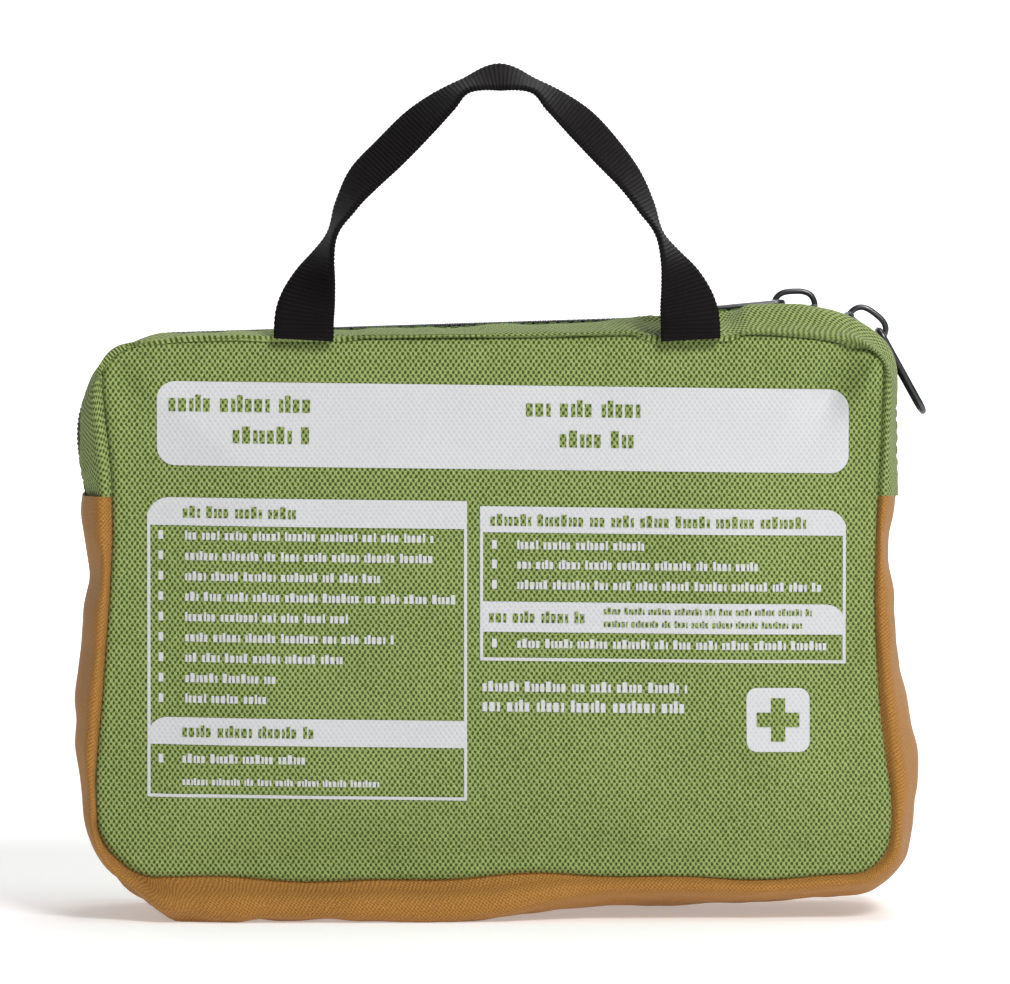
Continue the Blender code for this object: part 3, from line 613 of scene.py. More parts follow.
def resampled(line, shares):
    along = np.concatenate([[0], np.cumsum(np.linalg.norm(np.diff(line, axis=0), axis=1))])
    at = np.asarray(shares) * along[-1]
    return np.stack([np.interp(at, along, line[:, k]) for k in range(2)], axis=1)


def edge_dense(count):
    """Shares from 0 to 1, closer together at both ends."""
    even = np.linspace(0, 1, count)
    return 0.3 * even + 0.7 * (1 - np.cos(even * math.pi)) / 2


def patch(ring, columns, rows):
    """A Coons patch inside a closed outline, from its four corners."""
    corner = [int(np.argmax(ring @ np.array(d))) for d in ((-1, -1), (1, -1), (1, 1), (-1, 1))]
    start = corner[0]
    turned = np.roll(ring, -start, axis=0)
    br, tr, tl = ((k - start) % len(ring) for k in corner[1:])
    closed = np.concatenate([turned, turned[:1]])
    u, v = edge_dense(columns), edge_dense(rows)
    low, right = resampled(closed[: br + 1], u), resampled(closed[br : tr + 1], v)
    top, left = resampled(closed[tr : tl + 1][::-1], u), resampled(closed[tl:][::-1], v)
    uu, vv = u[None, :, None], v[:, None, None]
    edges = (1 - vv) * low[None] + vv * top[None] + (1 - uu) * left[:, None] + uu * right[:, None]
    corners = (
        (1 - uu) * (1 - vv) * low[0] + uu * (1 - vv) * low[-1]
        + (1 - uu) * vv * top[0] + uu * vv * top[-1]
    )
    return edges - corners


def distance_to(ring, points):
    flat = points.reshape(-1, 2)
    out = np.full(len(flat), 1e9)
    for a, b in zip(ring, np.roll(ring, -1, axis=0)):
        step = b - a
        share = np.clip((flat - a) @ step / max(step @ step, 1e-9), 0, 1)
        out = np.minimum(out, np.linalg.norm(flat - a - share[:, None] * step, axis=1))
    return out.reshape(points.shape[:-1])


def panel_grid(side, columns=150, rows=112):
    """The front (side -1) or back panel: a rolled edge, a soft crown, and slack cloth."""
    ring = outline_ring()
    flat = patch(ring, columns, rows)
    inset = distance_to(ring[::2], flat)
    x, z = flat[..., 0], flat[..., 1]
    roll = 2.3
    lip = roll * np.sqrt(np.clip(1 - (1 - np.clip(inset / roll, 0, 1)) ** 2, 0, 1))
    crown = 4.4 * smooth_step(inset, 0, 46)
    swell = lip - 2.0 + crown
    points = np.stack([x, np.full(x.shape, 0.0), z], axis=2)
    edge = np.exp(-inset / 9)
    ripple = 0.7 * edge * smooth_step(inset, 0, 2.5) * wobble(points, 9, 3 + side)
    slack = 0.9 * wobble(points, 42, 11 + side) * smooth_step(inset, 2, 18)
    points[..., 1] = side * (SEAM_Y + swell + ripple + slack + panel_dents(side, x, z))
    return points, inset


def panel_dents(side, x, z):
    """Places where the front panel is pulled in or pushed out by its seams and contents."""
    if side > 0:
        return 0.6 * bell(x, 20, 50) * bell(z, 45, 30)
    along = (x - 86) * 0.55 + (z - 136) * 0.83
    across = (x - 86) * 0.83 - (z - 136) * 0.55
    dent = -4.2 * bell(along, 0, 10) * bell(across, 0, 4.2)
    ridge = 1.6 * bell(along, 2, 9) * bell(across, 7.5, 3.5)
    corner = -1.4 * bell(x, -92, 6) * bell(z, 138, 5)
    lower = 2.8 * bell(z, 33, 15) * (1 - (x / 112) ** 2)
    for corner_x, corner_z, folds in ((97, 145, 9), (-96, 144, 7)):
        reach = np.hypot(x - corner_x, z - corner_z)
        angle = np.arctan2(z - corner_z, x - corner_x)
        dent = dent + 0.9 * np.sin(folds * angle) * np.exp(-reach / 13) * smooth_step(reach, 2, 9)
    return dent + ridge + corner + lower - 0.9 * bell(z, 16, 5)


def make_panels():
    front, _ = panel_grid(-1)
    uv = front[..., [0, 2]]
    piece = cloth_piece("front_cloth", front, "green", lambda p: (0, -1, 0), uv)
    finish_piece(piece, "bag", "green_cloth", "front_panel")
    back, _ = panel_grid(1)
    uv = back[..., [0, 2]]
    piece = cloth_piece("back_cloth", back, "green", lambda p: (0, 1, 0), uv)
    finish_piece(piece, None, "green_cloth", "back_panel", "back_panel_fold", "back_panel_top")
    bend(piece)
    return front


def bend(piece):
    """Bakes the piece's placement into its mesh; it is not made to fold with the flap."""
    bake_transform(piece)


def away_from_middle(point):
    return np.array([point[0], 0.0, point[2] - 75.0])


CREST = (
    (20, 35, 43, 52, 59, 66, 73, 79, 88, 96),
    (0, 0.5, 1.2, 2.6, 3.2, 3.5, 3.6, 3.6, 1.6, 0),
)  # how far the cloth beside the zip stands above it, along the top


def gusset_lift(grid, side):
    """Slack that puffs the green strip out: along the top right and at both upper corners."""
    x, y, z = np.moveaxis(grid, 2, 0)
    over = bell(np.abs(y), 14.5, 7.5)
    top = (z > 135) * np.interp(x, *CREST)
    right = 2.4 * bell(x, 98, 9) * bell(z, 146, 9)
    left = 1.2 * bell(x, -98, 9) * bell(z, 140, 9)
    return (0.5 + (top + right + left) * (1.0 if side < 0 else 0.5)) * over


LEG_REST = ((0, 6.4, 14.9, 24.7), (0, 3.3, 5.5, 11.0))  # the webbing tipped back: reach, height
LEGS = (-47.6, 48.8)
LEG_GAP = 2.3  # from the webbing's middle down to the strip


def under_handle(grid):
    """Presses the front strip down where the handle's legs lie back over it."""
    pivot = (np.array(JOINTS["handle_swing"]["pos_m"]) - ORIGIN) / MM
    x, y, z = np.moveaxis(grid, 2, 0)
    ceiling = pivot[2] + np.interp(y - pivot[1], *LEG_REST) - LEG_GAP
    press = np.clip(z - ceiling, 0, None) * smooth_step(y - pivot[1], 0.5, 2.5) * (z > 135)
    near = sum(1 - smooth_step(np.abs(x - leg), 9, 16) for leg in LEGS)
    out = grid.copy()
    out[..., 2] -= press * near
    return out


def make_zip_gussets():
    """The green strips between the zip and the panels, over the top and down to the tan cloth."""
    middle, seam = zip_run(), raised(seam_run_upper(), -0.7)
    start = math.asin((GUSSET_Y / SEAM_Y) ** 1.2)
    made = []
    for side, word in ((-1, "front"), (1, "back")):
        turns = side * np.linspace(start, math.pi / 2, 28)
        grid = strip_grid(middle, seam, turns, SEAM_Y + 0.3, 2.4, narrow=0.6)
        fade = (1 - (np.abs(grid[..., 1]) / (SEAM_Y + 0.3)) ** 8)
        folds = 0.8 * wobble(grid * np.array([1.0, 0.25, 1.0]), 11, 21 + side)
        folds *= smooth_step(np.abs(grid[..., 1]), GUSSET_Y, GUSSET_Y + 5)
        grid = grid + away_normals(grid) * ((gusset_lift(grid, side) + folds) * fade)[..., None]
        if side < 0:
            grid = under_handle(grid)
        made.append(grid)
        piece = cloth_piece(f"zip_gusset_{word}_cloth", grid, "green", away_from_middle)
        if side < 0:
            finish_piece(piece, "bag", "green_cloth", "zip_gusset_front")
        else:
            finish_piece(
                piece, None, "green_cloth", "zip_gusset_back", "zip_gusset_back_left_end",
                "zip_gusset_back_right_end",
            )
        if side > 0:
            bend(piece)
    return made


def make_stitching(grids):
    """A row of topstitching along each green strip, beside the zip."""
    for side, grid in zip((-1, 1), grids):
        row = grid[2]
        lengths = np.concatenate([[0], np.cumsum(np.linalg.norm(np.diff(row, axis=0), axis=1))])
        parts = []
        for start in np.arange(1.0, lengths[-1] - 3.0, 3.1):
            at = start + np.array([0, 0.3, 1.1, 1.9, 2.2])
            path = np.stack([np.interp(at, lengths, row[:, k]) for k in range(3)], axis=1)
            out = path - np.array([0.0, 0.0, 75.0])
            out[:, 1] = 0
            out /= np.linalg.norm(out, axis=1, keepdims=True)
            path += out * np.array([-0.15, 0.14, 0.2, 0.14, -0.15])[:, None]
            parts.append(tube_data(path, 0.24, 6))
        verts, faces = joined(parts)
        word = "front" if side < 0 else "back"
        piece = add_mesh(f"zip_stitching_{word}", place(verts), faces, "thread")
        finish_piece(piece, "bag" if side < 0 else None, "green_cloth")
        if side > 0:
            bend(piece)


def away_normals(grid):
    normal = normals_of(grid)
    away = grid - np.array([0.0, 0.0, 75.0])
    away[..., 1] = 0
    middle = grid.shape[0] // 2, grid.shape[1] // 2
    return normal * (1 if np.dot(normal[middle], away[middle]) > 0 else -1)


def make_lower_gusset():
    """The tan strip up both sides and under the bag, from seam to seam."""
    middle = middle_shape(low_run(WIDE, 0.0, 30.0, LOW_RADIUS))
    seam = raised(seam_run_lower(), 0.7)
    turns = np.radians(np.linspace(-90, 90, 61))
    under = 1 - smooth_step(middle[:, 1], 10, 35)
    full = 2.6 + under * (4.0 * (1 - smooth_step(middle[:, 0], -5, 40)) - 0.5)
    full_behind = 2.6 + 3.9 * under  # the bottles stand close to the back seam
    front_rows = strip_grid(middle, seam, turns[turns < 0], SEAM_Y + 0.3, full)
    back_rows = strip_grid(middle, seam, turns[turns >= 0], SEAM_Y + 0.3, full_behind)
    grid = np.concatenate([front_rows, back_rows])
    fade = np.cos(turns)[:, None] ** 0.5
    sides = smooth_step(grid[..., 2], 12, 30)
    folds = 1.2 * sides * wobble(grid * np.array([1, 0.3, 1.0]), 15, 31)
    corner = bell(grid[..., 0], -85, 30)
    folds += (0.7 + 1.5 * corner) * (1 - sides) * wobble(grid * np.array([1, 1.6, 1.0]), 14, 33)
    front = np.clip(-np.sin(turns), 0, 1)[:, None] ** 2
    along = smooth_step(grid[..., 0], -98, -70) * (1 - smooth_step(grid[..., 0], -10, 30))
    sag = 4.5 * front * along * (1 - sides)
    grid = grid + away_normals(grid) * ((folds + sag) * fade)[..., None]
    grid[..., 2] = np.maximum(grid[..., 2], 0.0)
    piece = cloth_piece("lower_gusset_cloth", grid, "tan", away_from_middle)
    finish_piece(piece, "bag", "tan_cloth", "lower_gusset")
    return grid


# ---------------------------------------------------------------- zip


def raised(line, by):
    """A line of (x, z) points moved outwards by so many mm."""
    along = np.gradient(line, axis=0)
    along /= np.linalg.norm(along, axis=1, keepdims=True)
    return line + np.stack([-along[:, 1], along[:, 0]], axis=1) * by


def make_zip():
    line = zip_run()
    for side, word in ((-1, "front"), (1, "back")):
        depths = side * np.linspace(COIL_IN + 0.9, TAPE_OUT, 7)
        grid = np.stack([
            np.column_stack([p[:, 0], np.full(len(p), y), p[:, 1]])
            for y in depths for p in [raised(line, -1.0)]
        ])
        tape = cloth_piece(f"zip_tape_{word}", grid, "tape", away_from_middle, thick=0.6)
        coil = coil_piece(line, side, word)
        ends = () if side < 0 else ("zipper_back_left_end", "zipper_back_right_end")
        finish_piece(tape, "bag" if side < 0 else None, "zip_plastic", f"zipper_tape_{word}", *ends)
        finish_piece(coil, "bag" if side < 0 else None, "zip_plastic", f"zipper_coil_{word}")
        if side > 0:
            bend(tape)
            bend(coil)


def coil_piece(line, side, word, pitch=1.25):
    """One row of the zip: a wire wound in flat loops, each with a head at the zip's middle."""
    shares = np.concatenate([[0], np.cumsum(np.linalg.norm(np.diff(line, axis=0), axis=1))])
    total = shares[-1]
    points_per_turn = 10
    turns = int(total / pitch)
    angle = np.arange(turns * points_per_turn) * 2 * math.pi / points_per_turn
    angle += math.pi * (side > 0)
    at = np.linspace(0, total, len(angle))
    base = resampled(line, at / total)
    outward = raised(base, 1.0) - base
    wire = 0.34
    half_wide = (COIL_OUT - COIL_IN) / 2 - wire
    half_high = 0.95 - wire
    middle_y = side * (COIL_IN + COIL_OUT) / 2
    high = base + outward * (half_high * np.sin(angle) - 0.35)[:, None]
    path = np.column_stack([high[:, 0], middle_y + half_wide * np.cos(angle), high[:, 1]])
    verts, faces = tube_data(path, wire, 5, sideways=(0.3, 0.4, 0.86))
    return add_mesh(f"zip_coil_{word}", place(verts), faces, "coil", smooth=80)


# ---------------------------------------------------------------- sliders and pulls


def from_lowest(face):
    """The same face counted from its lowest corner, so that every run gives the same mesh."""
    start = face.index(min(face))
    return face[start:] + face[:start]


def rounded_plate(points, low, high, bevel=0.35):
    """Vertices and faces of a plate cut to an outline of (x, y) points, its edges rounded."""
    bm = bmesh.new()
    base = [bm.verts.new((x, y, low)) for x, y in points]
    face = bm.faces.new(base)
    moved = bmesh.ops.extrude_face_region(bm, geom=[face])["geom"]
    tops = [v for v in moved if isinstance(v, bmesh.types.BMVert)]
    bmesh.ops.translate(bm, vec=(0, 0, high - low), verts=tops)
    bmesh.ops.recalc_face_normals(bm, faces=bm.faces)
    rims = [e for e in bm.edges if e.is_manifold and e.calc_face_angle(0) > 1.0]
    bmesh.ops.bevel(bm, geom=rims, offset=bevel, segments=2, affect="EDGES", profile=0.6)
    verts = np.array([v.co for v in bm.verts])
    index = {v: i for i, v in enumerate(bm.verts)}
    faces = sorted(from_lowest(tuple(index[v] for v in f.verts)) for f in bm.faces)
    bm.free()
    return verts, faces


def slider_parts(tail):
    """A slider about the coil's middle: shaped plates, side flanges, a post and a crown loop."""
    shape = []
    for x, half in ((-6.3, 2.2), (-5.6, 4.2), (-3.6, 5.3), (-0.5, 5.0), (3.0, 4.1), (5.8, 3.9), (6.4, 3.2)):
        shape.append((x * tail, half))
    outline = shape + [(x, -y) for x, y in shape[::-1]]
    if tail < 0:
        outline = outline[::-1]
    parts = [rounded_plate(outline, 1.35, 2.45, 0.3), rounded_plate(outline, -3.4, -2.5, 0.3)]
    for y in (-4.55, 4.55):
        one, two = y - 0.45, y + 0.45
        flange = [(-4.6 * tail, one), (2.6 * tail, one), (2.6 * tail, two), (-4.6 * tail, two)]
        parts.append(rounded_plate(flange[:: int(tail)], 0.75, 1.6, 0.15))
    post = [(-5.6 * tail, -0.28), (-1.8 * tail, -0.28), (-1.8 * tail, 0.28), (-5.6 * tail, 0.28)]
    parts.append(rounded_plate(post[:: int(tail)], -2.8, 1.7, 0.08))
    angle = np.linspace(0, math.pi, 25)
    sign = np.sign(np.cos(angle))
    x = 5.25 * sign * np.abs(np.cos(angle)) ** 0.7
    z = 1.9 + 4.7 * np.sin(angle) ** 0.7
    loop = np.column_stack([x, np.zeros(25), z])
    parts.append(tube_data(loop, 0.78, 10))
    for x_foot in (-4.9, 4.9):
        foot = [(x_foot - 0.9, -1.2), (x_foot + 0.9, -1.2), (x_foot + 0.9, 1.2), (x_foot - 0.9, 1.2)]
        parts.append(rounded_plate(foot, 2.0, 3.1, 0.4))
    return parts


def pull_parts():
    """A long wire loop lying along +X from its pivot, with a thin web in its upper half."""
    far, half, bend_radius = 23.6, 3.2, 2.2
    path = np.concatenate([
        arc(bend_radius, -half + bend_radius, bend_radius, 180, 270, 7),
        arc(far - half, 0, half, 270, 450, 17),
        arc(bend_radius, half - bend_radius, bend_radius, 90, 180, 7),
    ])
    wire = tube_data(np.column_stack([path, np.zeros(len(path))]), 0.85, 10, True, (0, 0, 1.0))
    web = rounded_plate([(9.8, -2.9), (14.2, -2.9), (14.2, 2.9), (9.8, 2.9)], -0.35, 0.35, 0.1)
    return [wire, web]


def turned_by(parts, matrix):
    verts, faces = joined(parts)
    spun = verts @ np.array(matrix.to_3x3()).T
    return spun, faces


def make_sliders():
    rise, shift = 3.8, 3.2  # a pull's pivot, above the coil's middle and towards the tail
    plans = (
        ("left", -SLOPE, -1, math.pi - math.radians(3.6)),
        ("right", math.radians(38), 1, math.radians(23)),
    )
    for word, lean, tail, pull_turn in plans:
        pivot = np.array(JOINTS[f"pull_{word}_swing"]["pos_m"]) / MM
        tilt = Matrix.Rotation(lean, 4, "Y")
        middle = pivot - np.array(tilt @ Vector((tail * shift, 0, rise)))
        verts, faces = turned_by(slider_parts(tail), tilt)
        slider = add_mesh(f"slider_{word}_body", (verts + middle) * MM, faces, "metal", smooth=40)
        finish_piece(slider, f"slider_{word}", "slider_metal", f"slider_{word}")
        verts, faces = turned_by(pull_parts(), tilt @ Matrix.Rotation(pull_turn, 4, "Y"))
        pull = add_mesh(f"pull_{word}_wire", (verts + pivot) * MM, faces, "metal", smooth=40)
        finish_piece(pull, f"pull_{word}", "slider_metal", f"pull_{word}")


# ---------------------------------------------------------------- handle


def smooth_through(values, count):
    """Catmull-Rom through rows of values, count points in all."""
    v = np.concatenate([values[:1] * 2 - values[1:2], values, values[-1:] * 2 - values[-2:-1]])
    at = np.linspace(0, len(values) - 1, count)
    i = np.minimum(at.astype(int), len(values) - 2)
    t = (at - i)[:, None]
    a, b, c, d = v[i], v[i + 1], v[i + 2], v[i + 3]
    return 0.5 * (2 * b + (c - a) * t + (2 * a - 5 * b + 4 * c - d) * t**2 + (3 * b - a - 3 * c + d) * t**3)


def make_handle():
    """Ribbed webbing from seam to seam, twisting on the way up each leg."""
    pivot = (np.array(JOINTS["handle_swing"]["pos_m"]) - ORIGIN) / MM
    # across, up, and the turn of the webbing's width out of the front plane
    route = [
        (-47.8, 146.2, 0), (-47.4, 153.0, 12), (-45.0, 161.5, 45), (-41.0, 171.8, 82),
        (-37.4, 179.5, 70), (-32.8, 186.5, 57), (-26.3, 193.0, 54), (-19.3, 200.0, 55),
        (-12.8, 205.6, 64), (-7.3, 209.6, 76), (1.2, 211.8, 62), (9.7, 209.6, 76),
        (15.2, 205.6, 64), (21.7, 200.0, 55), (28.2, 193.0, 56), (33.6, 186.5, 62),
        (37.8, 179.5, 72), (41.6, 171.8, 82), (46.4, 161.5, 45), (48.6, 153.0, 12),
        (49.0, 146.2, 0),
    ]
    line = smooth_through(np.array(route, float), 900)
    path = np.column_stack([line[:, 0], np.full(len(line), pivot[1]), line[:, 1]])
    along = np.gradient(path, axis=0)
    along /= np.linalg.norm(along, axis=1, keepdims=True)
    depth = np.array([0.0, 1.0, 0.0])
    in_plane = np.cross(along, depth)
    turn = np.radians(line[:, 2])[:, None]
    across = in_plane * np.cos(turn) + depth * np.sin(turn)
    normal = np.cross(along, across)
    travelled = np.concatenate([[0], np.cumsum(np.linalg.norm(np.diff(path, axis=0), axis=1))])
    half, thick = 7.5, 0.75
    ring = []
    columns = 14
    for k in range(columns + 1):
        share = -1 + 2 * k / columns
        ring.append((share, 1.0 if abs(share) < 0.99 else 0.35))
    rib = 0.09 * np.cos(2 * math.pi * travelled / 1.0)[:, None]
    loops = []
    for face in (1, -1):
        for share, height in ring[:: face]:
            reach = half * share * (1 + rib * 0.12)
            loops.append(path + across * reach + normal * (face * (thick * height + rib * height)))
    rows = np.stack(loops, axis=1)
    count = rows.shape[1]
    verts = rows.reshape(-1, 3)
    faces = []
    for i in range(len(rows) - 1):
        for k in range(count):
            m = (k + 1) % count
            faces.append((i * count + k, i * count + m, (i + 1) * count + m, (i + 1) * count + k))
    faces.append(tuple(range(count))[::-1])
    faces.append(tuple(range((len(rows) - 1) * count, len(rows) * count)))
    shares = np.array([s for s, _ in ring] + [s for s, _ in ring[::-1]]) * half
    uvs = np.stack(np.broadcast_arrays(shares[None, :], travelled[:, None]), axis=2).reshape(-1, 2)
    piece = add_mesh("handle_webbing", place(verts), faces, "webbing", uvs, 60)
    finish_piece(piece, "handle", "webbing", "handle")


# ---------------------------------------------------------------- print


PRINT_TILT = 0.013  # the print runs slightly down to the right


def words(start, end, level, height, seed):
    """A line of printed words, none of them real: short blocks with word gaps between."""
    blocks, x, count = [], start, seed
    while x < end - 0.4:
        letters = 3 + (count * 7 + seed * 3) % 6
        for letter in range(letters):
            wide = height * (0.36 + 0.1 * ((count + letter * 5 + seed) % 4))
            if x + wide > end:
                return blocks
            tall = height * (1.0 if (letter + count) % 4 == 0 else 0.78)
            blocks.append((x, x + wide * 0.7, level - height / 2, level - height / 2 + tall, 0))
            x += wide
        x += height * 0.45
        count += 1
    return blocks


def frame_lines(left, right, low, high):
    return [
        (left, left + 0.8, low, high, 0), (right - 0.8, right, low, high, 0),
        (left, right, low, low + 0.8, 0),
    ]


def print_layout():
    """Two lists of rectangles: ink, and cloth that shows through it.

    Each is (left, right, low, high, corner radius), with -1 or 1 after it where only the upper
    left or right corner is round.
    """
    ink = [(-84.5, 88.8, 115.0, 136.0, 4.5)]
    ink += [(-87.0, -7.0, 100.0, 107.0, 5.5, -1), (-87.0, -7.0, 45.2, 52.0, 5.0, -1)]
    ink += frame_lines(-87.0, -7.0, 32.0, 101.0)
    ink += [(-3.8, 88.2, 99.3, 105.8, 5.0, 1), (-3.8, 88.2, 74.4, 82.0, 5.0, 1)]
    ink += frame_lines(-3.8, 88.2, 67.2, 100.0)
    ends = (-14.5, -15.2, -27.5, -9.2, -36.5, -23.8, -37.2, -53.2, -56.8)
    for row, end in enumerate(ends):
        level = 97.6 - 5.1 * row
        ink += words(-77.5, end, level, 2.3, row) + [(-84.2, -83.0, level - 1.1, level + 1.1, 0)]
    ink += words(-78.2, -46.5, 41.8, 2.3, 11) + [(-84.2, -83.0, 40.6, 42.8, 0)]
    ink += words(-78.2, -27.2, 36.0, 1.8, 13)
    for row, (end, level) in enumerate(((38.5, 96.3), (67.2, 91.4), (82.5, 86.3), (83.8, 71.6))):
        ink += words(5.5, end, level, 2.3, 20 + row) + [(-0.8, 0.4, level - 1.1, level + 1.1, 0)]
    ink += words(-3.2, 49.5, 60.8, 2.6, 31) + words(-3.2, 49.5, 56.0, 3.0, 33)
    ink.append((63.0, 79.0, 45.0, 61.0, 2.6))
    cloth = words(-81.5, -44.8, 130.6, 4.2, 41) + words(-65.5, -45.2, 122.8, 4.2, 43)
    cloth += words(7.8, 37.2, 130.4, 4.2, 45) + words(16.2, 36.8, 122.8, 4.2, 47)
    cloth += words(-78.0, -48.5, 103.4, 2.9, 51) + words(-78.2, -43.8, 48.6, 2.9, 53)
    cloth += words(-1.2, 80.8, 102.4, 2.9, 55) + words(-1.5, 23.8, 78.2, 2.9, 57)
    cloth += words(27.2, 80.0, 79.9, 1.7, 59) + words(27.2, 78.0, 76.7, 1.7, 61)
    cloth += [(69.2, 72.8, 47.6, 58.4, 0), (65.6, 69.2, 51.2, 54.8, 0), (72.8, 76.4, 51.2, 54.8, 0)]
    return ink, cloth


def make_print(front):
    """Ink laid on the front panel, a hair proud of the cloth."""
    cloth = surface_tree(front)
    for name, shapes, proud, material in zip(
        ("front_print", "front_print_gaps"), print_layout(), (0.16, 0.26), ("ink", "green")
    ):
        parts, uvs = [], []
        for shape in shapes:
            points, polygons = ink_patch(*shape)
            points[:, 1] -= PRINT_TILT * (points[:, 0] + 85)
            hits = [cloth.ray_cast(Vector((x, -60, z)), Vector((0, 1, 0)))[0].y for x, z in points]
            laid = np.column_stack([points[:, 0], np.array(hits) - proud, points[:, 1]])
            parts.append((laid, polygons))
            uvs.append(points)
        made, polygons = joined(parts)
        piece = add_mesh(name, place(made), polygons, material, np.concatenate(uvs))
        finish_piece(piece, "bag", "green_cloth")


def ink_patch(left, right, low, high, radius, corner=0, step=2.0):
    """A flat rounded rectangle as a fine grid whose edges follow the rounding."""
    columns = max(2, int((right - left) / step) + 2)
    rows = max(2, int((high - low) / step) + 2)
    z = np.linspace(low, high, rows)
    if radius:
        turn = np.linspace(0, math.pi / 2, 7)
        ends = radius * (1 - np.cos(turn))
        between = z[(z > low + radius) & (z < high - radius)]
        z = np.unique(np.round(np.concatenate([low + ends, high - ends, between]), 5))
    reach = np.clip(np.minimum(z - low, high - z), 0, max(radius, 1e-6))
    cut = radius - np.sqrt(np.clip(radius**2 - (radius - reach) ** 2, 0, None)) if radius else 0 * z
    points = []
    for level, trim in zip(z, cut):
        if corner and level < (low + high) / 2:
            trim = 0.0
        for x in np.linspace(left + trim * (corner < 1), right - trim * (corner > -1), columns):
            points.append((x, level))
    return np.array(points), grid_faces(len(z), columns)


# ---------------------------------------------------------------- contents


def extent(node):
    """A CAD node's lowest and highest corner, in the bag's mm."""
    low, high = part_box(node)
    return (np.array(low) - ORIGIN) / MM, (np.array(high) - ORIGIN) / MM


def surface_tree(grid):
    faces = grid_faces(*grid.shape[:2])
    return BVHTree.FromPolygons([Vector(p) for p in grid.reshape(-1, 3)], faces)


def floor_under(tree, x, y):
    """The height of the bag's floor inside, at a place."""
    hit = tree.ray_cast(Vector((x, y, 60)), Vector((0, 0, -1)))[0]
    return (hit.z if hit else 8.0) + CLOTH + 0.4


def softened(points, radius):
    """A profile whose corners are rounded off."""
    points = [np.array(p, float) for p in points]
    out = [points[0]]
    for before, corner, after in zip(points, points[1:], points[2:]):
        ends = []
        for other in (before, after):
            step = other - corner
            length = np.linalg.norm(step)
            ends.append(corner + step * min(radius, 0.4 * length) / length)
        for t in (0, 0.33, 0.67, 1):
            out.append((1 - t) ** 2 * ends[0] + 2 * t * (1 - t) * corner + t * t * ends[1])
    out.append(points[-1])
    return out


def lathe(profile, base, axis, sides=64, ribs=0, rib_depth=0.0, ribbed=(0, 0)):
    """A turned solid from (radius, distance) points that starts and ends on its axis."""
    verts, rings = [], []
    for radius, distance in profile:
        if radius < 1e-6:
            rings.append([len(verts)])
            verts.append((0.0, 0.0, distance))
            continue
        rings.append(list(range(len(verts), len(verts) + sides)))
        cut = rib_depth if ribbed[0] <= distance <= ribbed[1] and radius > 5 else 0.0
        for k in range(sides):
            angle = 2 * math.pi * k / sides
            reach = radius - cut * (0.5 + 0.5 * math.cos(ribs * angle))
            verts.append((reach * math.cos(angle), reach * math.sin(angle), distance))
    faces = []
    for one, two in zip(rings, rings[1:]):
        for k in range(sides):
            m = (k + 1) % sides
            if len(one) == 1:
                faces.append((one[0], two[k], two[m]))
            elif len(two) == 1:
                faces.append((one[k], two[0], one[m]))
            else:
                faces.append((one[k], two[k], two[m], one[m]))
    points = np.array(verts)
    if axis == "x":
        points = points[:, [2, 0, 1]]
    return points + np.array(base), faces


def outward_mesh(name, points, faces, material, smooth=40):
    """A closed mesh with its faces turned outwards."""
    piece = add_mesh(name, place(points), faces, material, smooth=smooth)
    bm = bmesh.new()
    bm.from_mesh(piece.data)
    bmesh.ops.recalc_face_normals(bm, faces=bm.faces)
    bm.to_mesh(piece.data)
    bm.free()
    return piece


def make_packet(node, material, slot, floor, seed):
    """A sealed packet: a lumpy filled middle inside a flat crimped rim."""
    low, high = extent(node)
    rim, across, up = 4.5, 40, 40
    u, v = np.meshgrid(edge_dense(across), edge_dense(up))
    x, z = low[0] + u * (high[0] - low[0]), low[2] + v * (high[2] - low[2])
    inset = np.minimum(np.minimum(x - low[0], high[0] - x), np.minimum(z - low[2], high[2] - z))
    middle, half = (low[1] + high[1]) / 2, (high[1] - low[1]) / 2 - 0.1
    fill = smooth_step(inset, rim, rim + 6)
    flat = np.stack([x, np.zeros(x.shape), z], axis=2)
    lumps = 0.82 + 0.3 * wobble(flat, 13, seed)
    crimp = 0.05 * np.sin((x + z) * 4.5) * (inset < rim)
    half_thick = 0.16 + (half - 0.16) * np.clip(fill * lumps, 0, 1)
    raised_floor = np.array([floor_under(floor, a, middle) for a in x[0]])
    z = np.maximum(z, raised_floor[None, :] + (v * 3))
    sides = [np.stack([x, middle + s * half_thick + crimp, z], axis=2) for s in (-1, 1)]
    rows, columns = x.shape
    count = rows * columns
    faces = []
    for quad in grid_faces(rows, columns):
        faces.append(quad)
        faces.append(tuple(k + count for k in quad[::-1]))
    ids = rim_points(rows, columns)
    for a, b in zip(ids, ids[1:] + ids[:1]):
        faces.append((b, a, a + count, b + count))
    points = np.concatenate([s.reshape(-1, 3) for s in sides])
    piece = outward_mesh(f"{node}_look", points, faces, material)
    finish_piece(piece, "bag", slot, node)


